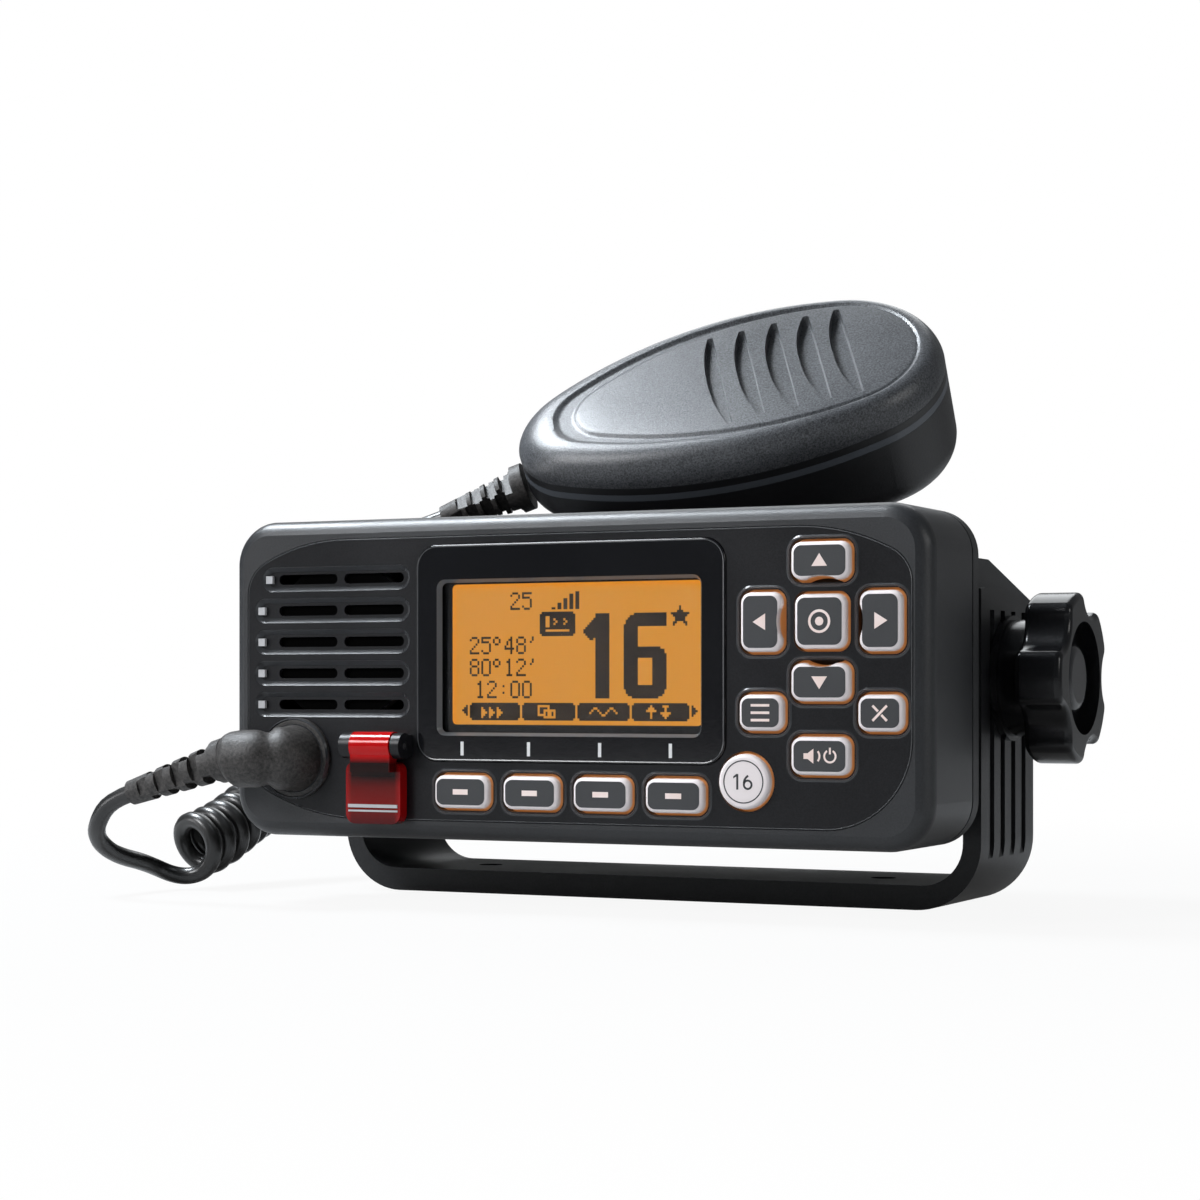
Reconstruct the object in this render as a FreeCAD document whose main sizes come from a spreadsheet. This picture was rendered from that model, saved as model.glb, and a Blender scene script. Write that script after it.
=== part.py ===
import FreeCAD, Part
import math
import os
import Sketcher
from FreeCAD import Placement, Rotation, Vector

# Fixed-mount VHF marine radio in its U bracket, with a hand microphone lying on top.
# Millimetres. X runs to the right of someone facing the radio, Y away from them, Z up.
# The origin is on the table under the middle of the bracket, below the knobs' axis.

doc = FreeCAD.newDocument("marine_radio")
sheet = doc.addObject("Spreadsheet::Sheet", "Sizes")

SIZES = [
    ("body_width", 186.2, "width of the bezel"),
    ("body_height", 79.2, "height of the bezel"),
    ("body_lift", 16.8, "bezel's underside above the table"),
    ("body_corner", 11.0, "corner radius of the bezel's outline"),
    ("bezel_front", -68.5, "Y of the bezel's outer front edge"),
    ("bezel_length", 28.0, "depth of the bezel's side wall"),
    ("bezel_wall", 2.6, "thickness of the bezel's side wall"),
    ("bezel_lip", 1.2, "thickness of the lip that holds the panel"),
    ("ring_rise", 1.6, "how far the ring's inner edge stands ahead of its outer edge"),
    ("ring_slope", 3.6, "width of the ring's sloping face"),
    ("ring_round", 4.4, "rounding between the ring and the side wall"),
    ("panel_across", 0.3, "X of the panel's middle"),
    ("panel_width", 177.2, "width of the front panel's face"),
    ("panel_height", 69.4, "height of the front panel's face"),
    ("panel_sag", 0.1, "how far the panel's middle lies below the bezel's"),
    ("panel_corner", 21.0, "radius of the panel's lower right corner"),
    ("sweep_across", 28.0, "width of the panel's two upper corners"),
    ("sweep_up", 13.5, "height of the panel's two upper corners"),
    ("low_sweep_across", 33.0, "width of the panel's lower left corner"),
    ("low_sweep_up", 16.0, "height of the panel's lower left corner"),
    ("panel_plate", 2.4, "thickness of the front panel"),
    ("panel_rim", 1.3, "rim of the panel behind the bezel's lip"),
    ("fit_gap", 0.15, "gap round a piece that drops into an opening"),
    ("cut_spare", 5.0, "how far a cut or a blank runs past the piece"),
    ("edge_share", 0.75, "rounding of a low rim or dome as a share of its height"),
    ("seat_gap", 0.05, "gap between stacked inner pieces"),
    ("gasket_plate", 0.8, "thickness of the body gasket"),
    ("gasket_inset", 0.9, "how far the gasket stays inside the outline"),
    ("flange_plate", 4.0, "thickness of the chassis flange"),
    ("chassis_width", 166.0, "width of the chassis behind the flange"),
    ("chassis_floor", 19.6, "Z of the chassis underside"),
    ("shoulder_level", 86.1, "Z of the chassis shoulders"),
    ("shoulder_turn", 3.3, "Y at which the shoulders begin to fall"),
    ("shoulder_fall", 14.4, "slope of the shoulders in degrees"),
    ("deck_level", 92.8, "Z of the raised middle deck"),
    ("deck_width", 112.0, "width of the raised middle deck"),
    ("deck_end", 31.4, "Y of the deck's rear end"),
    ("chassis_end", 39.5, "Y of the chassis rear face"),
    ("chassis_wall", 3.5, "chassis wall"),
    ("fin_depth", 8.0, "depth of the cooling fins"),
    ("fin_slot", 5.2, "slot between two cooling fins"),
    ("fin_pitch", 8.4, "spacing of the cooling fins"),
    ("fin_count", 7, "number of slots between fins"),
    ("fin_middle", -3.0, "X of the middle of the fins"),
    ("arm_face", 89.1, "X of the bracket arms' outer faces"),
    ("arm_plate", 4.6, "thickness of the bracket arms"),
    ("base_plate", 6.0, "thickness of the bracket base"),
    ("bracket_depth", 42.7, "width of the bracket strap along Y"),
    ("bracket_corner", 16.5, "outer bend radius of the bracket"),
    ("arm_top", 78.4, "Z of the arms' tops"),
    ("arm_crown", 150.0, "radius of the arms' crowned tops"),
    ("crown_middle", -10.0, "Y of the middle of that radius"),
    ("flute_width", 3.6, "width of a flute in the arms"),
    ("flute_depth", 1.0, "depth of a flute in the arms"),
    ("flute_pitch", 8.6, "spacing of the flutes"),
    ("flute_count", 4, "flutes on each arm"),
    ("flute_top", 73.0, "Z at which the flutes begin"),
    ("base_hole_spacing", 113.0, "distance between the two holes in the base"),
    ("base_hole", 6.5, "diameter of the holes in the base"),
    ("arm_hole", 6.5, "diameter of the knob holes in the arms"),
    ("washer_radius", 11.0, "radius of the rubber washers inside the arms"),
    ("washer_gap", 0.1, "gap between a washer and the arm it bears on"),
    ("collar_radius", 15.5, "radius of the loose washers under the knobs"),
    ("collar_plate", 1.6, "thickness of the loose washers"),
    ("knob_radius", 21.0, "radius to the knob's lobes"),
    ("knob_waist", 16.6, "radius to the knob's hollows"),
    ("knob_neck", 14.4, "radius of the knob's neck"),
    ("hollow_radius", 8.0, "radius of the hollows between the lobes"),
    ("lobe_round", 3.0, "rounding of the lobes' corners"),
    ("knob_round", 1.6, "rounding of the knob's ends"),
    ("neck_length", 5.8, "length of the knob's neck"),
    ("lobe_length", 11.8, "length of the knob's lobed part"),
    ("knob_lobes", 5, "number of lobes"),
    ("recess_radius", 13.85, "radius of the recess in the knob's face"),
    ("recess_depth", 5.0, "depth of the recess"),
    ("cap_radius", 8.8, "radius of the domed cap in the recess"),
    ("cap_rise", 3.6, "height of the domed cap"),
    ("screw_diameter", 6.0, "diameter of the knob's steel screw"),
    ("screw_grip", 9.0, "length of the screw inside the knob"),
    ("screw_reach", 11.0, "length of screw inside the chassis"),
    ("thread_gap", 0.05, "radial clearance of the screw in its insert"),
    ("insert_radius", 6.5, "radius of the brass inserts"),
    ("insert_length", 12.0, "length of the brass inserts"),
    ("display_across", 2.3, "X of the display frame's middle"),
    ("display_up", 62.5, "Z of the display frame's middle"),
    ("display_width", 82.4, "width of the display frame"),
    ("display_height", 52.8, "height of the display frame"),
    ("display_corner", 5.6, "corner radius of the display frame"),
    ("display_rise", 0.5, "how far the display frame stands out of the panel"),
    ("window_across", 2.2, "X of the window's middle"),
    ("window_up", 61.4, "Z of the window's middle"),
    ("window_width", 70.6, "width of the window in the frame"),
    ("window_height", 38.0, "height of the window in the frame"),
    ("window_corner", 2.2, "corner radius of the window"),
    ("frame_plate", 1.9, "thickness of the display frame"),
    ("lens_plate", 1.0, "thickness of the display lens"),
    ("lens_lap", 1.6, "how far the lens laps behind the frame"),
    ("module_plate", 3.5, "thickness of the LCD module with its light guide"),
    ("board_plate", 1.6, "thickness of the circuit boards"),
    ("board_margin", 1.0, "gap between the control board and what stands beside it"),
    ("key_rise", 1.8, "how far the keys stand out of the panel"),
    ("key_gap", 0.3, "gap round each key"),
    ("key_flange", 0.7, "width of the keys' flanges behind the panel"),
    ("key_flange_plate", 0.9, "thickness of the keys' flanges"),
    ("key_round", 0.7, "rounding of the keys' front edges"),
    ("soft_key_pitch", 18.9, "spacing of the four soft keys"),
    ("soft_key_first", -25.75, "X of the first soft key"),
    ("soft_key_up", 28.8, "Z of the soft keys"),
    ("soft_key_width", 15.6, "width of a soft key"),
    ("soft_key_height", 8.7, "height of a soft key"),
    ("key_corner", 2.6, "corner radius of the keys"),
    ("pad_across", 67.3, "X of the enter key and the keys above and below it"),
    ("pad_up", 69.1, "Z of the enter key"),
    ("wide_key_width", 15.0, "width of the channel and volume keys"),
    ("wide_key_height", 9.4, "height of the channel and volume keys"),
    ("channel_reach", 13.8, "distance from the enter key to a channel key"),
    ("enter_size", 13.2, "width and height of the enter key"),
    ("side_key_reach", 14.5, "distance from the enter key to a side key"),
    ("side_key_width", 10.9, "width of a side key"),
    ("side_key_height", 14.4, "height of a side key"),
    ("small_key_up", 48.3, "Z of the menu and clear keys"),
    ("small_key_width", 11.6, "width of the menu and clear keys"),
    ("small_key_height", 9.0, "height of the menu and clear keys"),
    ("volume_key_up", 38.5, "Z of the volume key"),
    ("round_key_across", 48.6, "X of the round key"),
    ("round_key_up", 32.4, "Z of the round key"),
    ("round_key_radius", 6.7, "radius of the round key"),
    ("rubber_plate", 1.4, "thickness of the keypad rubber"),
    ("rubber_margin", 1.2, "rubber left round the keys"),
    ("pad_ring", 9.9, "radius of the round that hollows the keys beside the enter key"),
    ("slot_across", -63.6, "X of the middle of the speaker slots"),
    ("slot_up", 65.55, "Z of the middle speaker slot"),
    ("slot_pitch", 7.85, "spacing of the speaker slots"),
    ("slot_rows", 5, "number of speaker slots"),
    ("groove_width", 45.2, "width of the sunk groove round a slot"),
    ("groove_height", 6.2, "height of the sunk groove"),
    ("groove_depth", 1.3, "depth of the sunk groove"),
    ("top_groove_short", 2.3, "how much later the top groove starts, beside the panel's corner"),
    ("slot_rounding", 0.48, "corner radius of a slot or groove as a share of its width"),
    ("slot_width", 17.2, "width of one half slot"),
    ("slot_height", 2.5, "height of a slot"),
    ("slot_bridge", 2.0, "bridge between two half slots"),
    ("slot_shift", 2.0, "how far the slots lie right of the groove's middle"),
    ("speaker_across", -62.0, "X of the loudspeaker"),
    ("speaker_radius", 20.3, "radius of the loudspeaker"),
    ("speaker_depth", 14.0, "depth of the loudspeaker"),
    ("basket_depth", 8.4, "depth of the loudspeaker's basket"),
    ("magnet_radius", 11.0, "radius of the loudspeaker's magnet"),
    ("speaker_rim", 3.0, "thickness of the loudspeaker's rim"),
    ("cloth_plate", 0.4, "thickness of the loudspeaker cloth"),
    ("distress_across", -49.4, "X of the middle of the distress cover"),
    ("cover_width", 15.5, "width of the distress cover"),
    ("cover_low", 20.6, "Z of the distress cover's lower edge"),
    ("cover_high", 36.0, "Z of the flat part's upper edge"),
    ("cover_plate", 1.6, "thickness of the distress cover"),
    ("cover_wall", 1.2, "thickness of the distress cover's side walls"),
    ("cover_gap", 1.9, "space between the cover and the panel"),
    ("hinge_up", 39.8, "Z of the distress cover's hinge"),
    ("hinge_out", 3.7, "distance from the panel to the hinge axis"),
    ("knuckle_radius", 3.5, "radius of the hinge knuckle"),
    ("knuckle_left", 54.2, "how far left the knuckle's left end is"),
    ("knuckle_right", 43.0, "how far left the knuckle's right end is"),
    ("lug_left_end", 57.4, "how far left the left lug's end is"),
    ("lug_right_end", 40.3, "how far left the right lug's end is"),
    ("lug_radius", 3.2, "radius of the hinge lugs"),
    ("lug_web", 5.4, "height of the web behind a lug"),
    ("hinge_gap", 0.25, "gap between the knuckle and a lug"),
    ("pin_radius", 0.8, "radius of the hinge pin"),
    ("pin_gap", 0.05, "radial clearance of the hinge pin"),
    ("distress_key_width", 11.4, "width of the distress key"),
    ("distress_key_height", 10.8, "height of the distress key"),
    ("distress_key_up", 28.0, "Z of the distress key"),
    ("distress_key_rise", 1.1, "how far the distress key stands out"),
    ("gland_across", -74.0, "X of the cord gland"),
    ("gland_up", 36.4, "Z of the cord gland"),
    ("gland_radius", 10.2, "radius of the gland's ring"),
    ("gland_plate", 1.3, "thickness of the gland's ring"),
    ("gland_shank", 7.0, "radius of the gland's shank"),
    ("gland_nut", 9.4, "radius of the gland's nut"),
    ("gland_nut_plate", 3.2, "thickness of the gland's nut"),
    ("boot_radius", 8.1, "radius of the elbow boot at the panel"),
    ("boot_reach", 8.0, "distance from the gland to the boot's bend"),
    ("boot_arm_radius", 7.1, "radius of the boot's side arm"),
    ("boot_arm_length", 12.0, "length of the boot's side arm"),
    ("relief_thick", 5.0, "radius of a strain relief's thick end"),
    ("relief_thin", 3.2, "radius of a strain relief's thin end"),
    ("relief_collar", 3.0, "length of a strain relief's collar"),
    ("relief_droop", 17.0, "droop of the front strain relief in degrees"),
    ("relief_length", 31.0, "length of the front strain relief"),
    ("relief_slot", 3.0, "width of the slots in a strain relief"),
    ("relief_slots", 4, "number of slots in a strain relief"),
    ("relief_web", 1.0, "rubber left between the slots and the cord"),
    ("cord_diameter", 4.6, "diameter of the cord"),
    ("cord_stub", 7.36, "length of the straight run where a cord is held"),
    ("coil_diameter", 16.4, "outer diameter of the curly cord"),
    ("mic_across", 35.1, "X of the microphone's reference point"),
    ("mic_back", -1.8, "Y of the microphone's reference point"),
    ("mic_turn", 21.7, "turn of the microphone about Z in degrees"),
    ("mic_rise", 13.3, "rise of its wide end in degrees"),
    ("mic_roll", 40.5, "roll of its face towards the front in degrees"),
    ("mic_rest", 0.3, "gap between the microphone and the deck"),
    ("mic_slots", 5, "number of slots in the microphone's face"),
    ("mic_slot_first", -20.9, "place of the first slot along the microphone"),
    ("mic_slot_pitch", 8.2, "spacing of the slots"),
    ("mic_slot_side", 0.0, "middle of the slots across the microphone"),
    ("mic_slot_width", 5.6, "width of a slot"),
    ("mic_slot_length", 40.0, "length of a slot"),
    ("mic_slot_depth", 1.3, "depth of a slot"),
    ("mic_hole", 1.2, "radius of the hole before the microphone element"),
    ("egg_tail", -55.5, "centre of the narrow end's arc"),
    ("egg_tail_radius", 19.0, "radius of the narrow end"),
    ("egg_head", 9.0, "centre of the wide end's arc"),
    ("egg_head_radius", 28.0, "radius of the wide end"),
    ("egg_side_radius", 100.0, "radius of the long sides"),
    ("mic_crown", 9.2, "height of the microphone's face above its seam"),
    ("mic_crown_inset", 5.2, "how far the face is set in from the seam"),
    ("mic_strip", 2.0, "width of the side strip"),
    ("mic_tail_depth", 14.0, "depth of the rear shell at the narrow end"),
    ("mic_head_depth", 29.0, "depth of the rear shell at the wide end"),
    ("mic_back_round", 8.0, "rounding of the rear shell's back edge"),
    ("mic_strip_depth", 1.2, "depth of the side strip's groove"),
    ("mic_wall", 2.0, "wall of the microphone's face"),
    ("mic_side_wall", 2.8, "thickness of the microphone's side walls"),
    ("talk_length", 36.0, "length of the talk key"),
    ("talk_across", -22.0, "middle of the talk key along the microphone"),
    ("talk_height", 9.0, "height of the talk key"),
    ("talk_level", -8.5, "middle of the talk key below the seam"),
    ("talk_rise", 2.2, "how far the talk key stands out"),
    ("talk_depth", 8.0, "length of the talk key through the wall"),
    ("mic_key_radius", 2.6, "radius of the small microphone keys"),
    ("mic_key_pitch", 7.0, "spacing of the small microphone keys"),
    ("mic_key_first", 4.0, "place of the first small key"),
    ("mic_key_rise", 0.9, "how far the small keys stand out"),
    ("mic_key_depth", 7.0, "length of the small keys"),
    ("element_radius", 4.9, "radius of the microphone element"),
    ("mic_relief_length", 24.0, "length of the microphone's strain relief"),
    ("mic_relief_droop", 9.0, "droop of the microphone's strain relief in degrees"),
    ("mic_relief_level", -9.0, "level of the cord where it enters the microphone"),
    ("mic_relief_thick", 5.8, "radius of its thick end"),
    ("stud_across", 8.0, "place of the hanger stud along the microphone"),
    ("stud_radius", 7.0, "radius of the hanger stud's head"),
    ("stud_neck", 3.6, "radius of the hanger stud's neck"),
    ("stud_height", 6.0, "height of the hanger stud"),
    ("case_screw", 1.3, "radius of the small case screws"),
    ("case_head", 2.5, "radius of the case screws' heads"),
    ("case_head_plate", 1.75, "thickness of the case screws' heads"),
    ("tip_gap", 1.0, "gap past a case screw's tip"),
    ("case_screw_length", 14.0, "length of a case screw in its boss"),
    ("boss_radius", 4.4, "radius of the bezel's screw bosses"),
    ("boss_across", 86.3, "X of the bezel's screw bosses"),
    ("boss_inset", 8.4, "distance from the bezel's top and bottom to the bosses"),
    ("antenna_across", -46.0, "X of the antenna socket"),
    ("antenna_up", 62.0, "Z of the antenna socket"),
    ("antenna_shank", 6.0, "radius of the antenna socket's threaded shank"),
    ("antenna_radius", 7.95, "radius of the antenna socket's barrel"),
    ("antenna_plate", 2.0, "thickness of the antenna socket's flange"),
    ("antenna_bore", 6.4, "radius of the antenna socket's bore"),
    ("antenna_contact", 2.4, "radius of the antenna socket's centre contact"),
    ("antenna_length", 14.0, "length of the antenna socket's barrel"),
    ("antenna_flange", 11.0, "half width of the socket's square flange"),
    ("power_across", 40.0, "X of the power lead's gland"),
    ("power_radius", 7.0, "radius of the power lead's gland"),
    ("power_shank", 4.6, "radius of the gland's shank through the wall"),
    ("power_bore", 3.2, "radius of the hole in the power lead's gland"),
    ("power_length", 6.0, "how far the power lead's gland stands out"),
    ("main_board_up", 44.0, "Z of the main board"),
    ("post_radius", 3.4, "radius of the posts under the main board"),
    ("post_hole_depth", 8.0, "depth of the hole in a post"),
]

for place, (alias, number, meaning) in enumerate(SIZES, start=1):
    sheet.set(f"A{place}", meaning)
    sheet.set(f"B{place}", str(number))
    sheet.setAlias(f"B{place}", alias)
doc.recompute()


def value(expression):
    """The number that an expression on the sheet gives."""
    return float(doc.getObject("Sizes").evalExpression(expression))


def size(alias):
    return float(sheet.get(alias))


# Levels along Y and Z that several pieces share, as expressions on the sheet.
PANEL_FRONT = "(Sizes.bezel_front - Sizes.ring_rise)"
PANEL_BACK = f"({PANEL_FRONT} + Sizes.panel_plate)"
BEZEL_BACK = "(Sizes.bezel_front + Sizes.bezel_length)"
GASKET_BACK = f"({BEZEL_BACK} + Sizes.gasket_plate)"
FLANGE_BACK = f"({GASKET_BACK} + Sizes.flange_plate)"
AXIS_UP = "(Sizes.body_lift + Sizes.body_height / 2)"
PANEL_UP = f"({AXIS_UP} - Sizes.panel_sag)"
FRAME_FRONT = f"({PANEL_FRONT} - Sizes.display_rise)"
FRAME_BACK = f"({FRAME_FRONT} + Sizes.frame_plate)"
LENS_FRONT = f"({FRAME_BACK} + Sizes.seat_gap)"
LENS_BACK = f"({LENS_FRONT} + Sizes.lens_plate)"
MODULE_BACK = f"({LENS_BACK} + Sizes.seat_gap + Sizes.module_plate)"
BOARD_FRONT = f"({MODULE_BACK} + Sizes.seat_gap)"
BOARD_BACK = f"({BOARD_FRONT} + Sizes.board_plate)"
RUBBER_BACK = f"({BOARD_FRONT} - Sizes.seat_gap)"
RUBBER_FRONT = f"({RUBBER_BACK} - Sizes.rubber_plate)"
HINGE_OUT = f"({PANEL_FRONT} - Sizes.hinge_out)"


# ---------------------------------------------------------------- drawing helpers
def new_body(label):
    body = doc.addObject("PartDesign::Body", label)
    body.Label = label
    return body


def origin_part(body, role):
    """One of the body's own planes or axes."""
    return [item for item in body.Origin.OriginFeatures if item.Role == role][0]


def new_sketch(body, plane, level):
    """A sketch on one of the body's planes, moved to a level along its axis."""
    sketch = body.newObject("Sketcher::SketchObject", body.Label + "_sketch")
    sketch.AttachmentSupport = [(origin_part(body, plane), "")]
    sketch.MapMode = "FlatFace"
    sign = "-" if plane == "XZ_Plane" else ""
    sketch.setExpression("AttachmentOffset.Base.z", f"{sign}({level})")
    return sketch


def tie(sketch, sizes, joins=()):
    """Adds joins, then driving dimensions bound to expressions on the sheet."""
    constraints = list(joins)
    for kind, places, expression in sizes:
        constraints.append(Sketcher.Constraint(kind, *places, value(expression)))
    sketch.addConstraint(constraints)
    first = sketch.ConstraintCount - len(sizes)
    for index, (kind, places, expression) in enumerate(sizes, start=first):
        sketch.setExpression(f"Constraints[{index}]", expression)


def draw_circle(sketch, across, up, radius):
    centre = Vector(value(across), value(up), 0)
    circle = sketch.addGeometry(Part.Circle(centre, Vector(0, 0, 1), value(radius)), False)
    sizes = [("DistanceX", (-1, 1, circle, 3), across), ("DistanceY", (-1, 1, circle, 3), up)]
    tie(sketch, sizes + [("Radius", (circle,), radius)])


def draw_outline(sketch, corners):
    """A closed outline through corners given as expressions, each with or without a radius."""
    spots = [Vector(value(corner[0]), value(corner[1]), 0) for corner in corners]
    ways = []
    for spot, following in zip(spots, spots[1:] + spots[:1]):
        ways.append((following - spot).normalize())
    starts, ends, arcs = [], [], []
    for index, corner in enumerate(corners):
        spot, onward, back = spots[index], ways[index], -ways[index - 1]
        if len(corner) == 2:
            starts.append(spot)
            ends.append(spot)
            arcs.append(None)
            continue
        radius = value(corner[2])
        half = onward.getAngle(back) / 2
        starts.append(spot + onward * (radius / math.tan(half)))
        ends.append(spot + back * (radius / math.tan(half)))
        centre = spot + (onward + back).normalize() * (radius / math.sin(half))
        first = math.atan2(ends[-1].y - centre.y, ends[-1].x - centre.x)
        last = math.atan2(starts[-1].y - centre.y, starts[-1].x - centre.x)
        left_turn = (last - first) % (2 * math.pi) < math.pi
        span = (first, last) if left_turn else (last, first)
        circle = Part.Circle(centre, Vector(0, 0, 1), radius)
        arc = sketch.addGeometry(Part.ArcOfCircle(circle, *span), False)
        arcs.append((arc, 1 if left_turn else 2))
    lines = []
    for start, end in zip(starts, ends[1:] + ends[:1]):
        lines.append(sketch.addGeometry(Part.LineSegment(start, end), False))
    joins, sizes = [], []
    for index, corner in enumerate(corners):
        before, line = lines[index - 1], lines[index]
        if arcs[index] is None:
            joins.append(Sketcher.Constraint("Coincident", before, 2, line, 1))
            fixed = line
        else:
            arc, near_end = arcs[index]
            fixed = sketch.addGeometry(Part.Point(spots[index]), True)
            joins.append(Sketcher.Constraint("Tangent", before, 2, arc, near_end))
            joins.append(Sketcher.Constraint("Tangent", arc, 3 - near_end, line, 1))
            joins.append(Sketcher.Constraint("PointOnObject", fixed, 1, before))
            joins.append(Sketcher.Constraint("PointOnObject", fixed, 1, line))
            sizes.append(("Radius", (arc,), corner[2]))
        sizes.append(("DistanceX", (-1, 1, fixed, 1), corner[0]))
        sizes.append(("DistanceY", (-1, 1, fixed, 1), corner[1]))
    tie(sketch, sizes, joins)


def box_corners(across, up, width, height):
    """A rectangle's corners, left round from the lower left, from its middle and size."""
    left = f"({across}) - ({width}) / 2"
    right = f"({across}) + ({width}) / 2"
    low = f"({up}) - ({height}) / 2"
    high = f"({up}) + ({height}) / 2"
    return [(left, low), (right, low), (right, high), (left, high)]


def draw_box(sketch, across, up, width, height):
    draw_outline(sketch, box_corners(across, up, width, height))


def draw_round_box(sketch, across, up, width, height, corner):
    corners = box_corners(across, up, width, height)
    draw_outline(sketch, [(*spot, corner) for spot in corners])


def add_pad(body, sketch, length, both_ways=False):
    pad = body.newObject("PartDesign::Pad", body.Label + "_pad")
    pad.Profile = sketch
    pad.setExpression("Length", length)
    if both_ways:
        pad.SideType = "Symmetric"
    doc.recompute()
    return pad


def cut_pocket(body, sketch, length=None, both_ways=False, backwards=False):
    """Cuts to a depth, or right through when no depth is given."""
    before = body.Shape.Volume
    pocket = body.newObject("PartDesign::Pocket", body.Label + "_pocket")
    pocket.Profile = sketch
    if length is None:
        pocket.Type = "ThroughAll"
    else:
        pocket.setExpression("Length", length)
    if both_ways:
        pocket.SideType = "Symmetric"
    pocket.Reversed = backwards
    doc.recompute()
    if body.Shape.Volume > before - 1e-6:
        raise RuntimeError(f"a pocket of {body.Label} cuts nothing")
    return pocket


def spots_of(edge):
    """The ends and the middle of an edge."""
    middle = edge.valueAt((edge.FirstParameter + edge.LastParameter) / 2)
    return [vertex.Point for vertex in edge.Vertexes] + [middle]


def add_fillet(body, feature, test, radius):
    """Rounds each edge of a feature whose ends and middle pass the test."""
    edges = enumerate(feature.Shape.Edges, start=1)
    names = [f"Edge{index}" for index, edge in edges if test(spots_of(edge))]
    fillet = body.newObject("PartDesign::Fillet", body.Label + "_fillet")
    fillet.Base = (feature, names)
    fillet.setExpression("Radius", radius)
    doc.recompute()
    return fillet


def all_at(axis, level):
    """A test that every spot lies at one level along an axis."""
    return lambda spots: all(near(getattr(spot, axis), level) for spot in spots)


def repeat_along(body, feature, axis, count, pitch):
    """A linear pattern of one feature along a body axis."""
    pattern = body.newObject("PartDesign::LinearPattern", body.Label + "_row")
    pattern.Originals = [feature]
    pattern.Direction = (origin_part(body, axis), [""])
    pattern.Mode = "Spacing"
    pattern.setExpression("Offset", pitch)
    pattern.setExpression("Occurrences", count)
    body.Tip = pattern
    doc.recompute()
    return pattern


def near(level, wanted):
    """Whether two places are the same within a hundredth of a millimetre."""
    return abs(level - wanted) < 0.01


# ---------------------------------------------------------------- bracket
def mounting_bracket():
    """A moulded U strap: rounded bends, fluted arms with crowned tops, holes in the base."""
    body = new_body("mounting_bracket")
    top = "(Sizes.arm_top + Sizes.bracket_corner + Sizes.cut_spare)"
    outer = "2 * Sizes.arm_face"
    inner = "2 * (Sizes.arm_face - Sizes.arm_plate)"
    sketch = new_sketch(body, "XZ_Plane", "0")
    draw_round_box(sketch, "0", f"{top} / 2", outer, top, "Sizes.bracket_corner")
    add_pad(body, sketch, "Sizes.bracket_depth", both_ways=True)
    sketch = new_sketch(body, "XZ_Plane", "0")
    hollow = f"({top} - 2 * Sizes.base_plate)"
    bend = "Sizes.bracket_corner - Sizes.base_plate"
    draw_round_box(sketch, "0", f"{top} / 2", inner, hollow, bend)
    cut_pocket(body, sketch, both_ways=True)
    sketch = new_sketch(body, "XZ_Plane", "0")
    above = f"({top} - Sizes.arm_top + Sizes.cut_spare)"
    draw_box(sketch, "0", f"Sizes.arm_top + {above} / 2", f"{outer} + Sizes.cut_spare", above)
    cut_pocket(body, sketch, both_ways=True)
    # The crowned tops: everything outside a wide circle goes.
    sketch = new_sketch(body, "YZ_Plane", "0")
    middle = "(Sizes.arm_top - Sizes.arm_crown)"
    draw_circle(sketch, "Sizes.crown_middle", middle, "Sizes.arm_crown")
    outside = "2 * (Sizes.arm_crown + Sizes.cut_spare)"
    draw_box(sketch, "Sizes.crown_middle", middle, outside, outside)
    cut_pocket(body, sketch, both_ways=True)
    # Holes for the knobs' screws and for the screws into the shelf.
    sketch = new_sketch(body, "YZ_Plane", "0")
    draw_circle(sketch, "0", AXIS_UP, "Sizes.arm_hole / 2")
    cut_pocket(body, sketch, both_ways=True)
    sketch = new_sketch(body, "XY_Plane", "0")
    for side in (-1, 1):
        draw_circle(sketch, f"{side} * Sizes.base_hole_spacing / 2", "0", "Sizes.base_hole / 2")
    cut_pocket(body, sketch, both_ways=True)
    # One flute on each arm, running down round the bend, then its copies along Y.
    first = "(Sizes.flute_pitch * (Sizes.flute_count - 1) / 2)"
    sketch = new_sketch(body, "XZ_Plane", f"-{first}")
    for side in (-1, 1):
        floor = f"{side} * (Sizes.arm_face - Sizes.flute_depth)"
        out = f"{side} * (Sizes.arm_face + Sizes.cut_spare)"
        corners = [
            (floor, "Sizes.flute_top"),
            (floor, "0", "Sizes.bracket_corner"),
            (out, "0"),
            (out, "Sizes.flute_top"),
        ]
        draw_outline(sketch, corners)
    flute = cut_pocket(body, sketch, "Sizes.flute_width", both_ways=True)
    repeat_along(body, flute, "Y_Axis", "Sizes.flute_count", "Sizes.flute_pitch")
    return body


# ---------------------------------------------------------------- case
def outline_box(sketch, inset="0"):
    """The radio's outline seen from the front, set in by a given amount."""
    width = f"Sizes.body_width - 2 * ({inset})"
    height = f"Sizes.body_height - 2 * ({inset})"
    draw_round_box(sketch, "0", AXIS_UP, width, height, f"Sizes.body_corner - ({inset})")


def swept_corner(corner, inward_x, inward_z, across, up, growth):
    """Two blunt corners and their arcs, near a quarter ellipse, in place of one square corner."""
    slant = f"sqrt({across} ^ 2 + {up} ^ 2)"
    down = f"((2 - sqrt(2)) * {up} + ({growth}) * (1 - ({slant} - {up}) / {across}))"
    along = f"((2 - sqrt(2)) * {across} + ({growth}) * (1 - ({slant} - {across}) / {up}))"
    tight = f"((sqrt(2) - 1) * {up} * ({slant} + {up}) / {across} + ({growth}))"
    wide = f"((sqrt(2) - 1) * {across} * ({slant} + {across}) / {up} + ({growth}))"
    x, z = corner
    return [(x, f"{z} + {inward_z} * {down}", tight), (f"{x} + {inward_x} * {along}", z, wide)]


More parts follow.
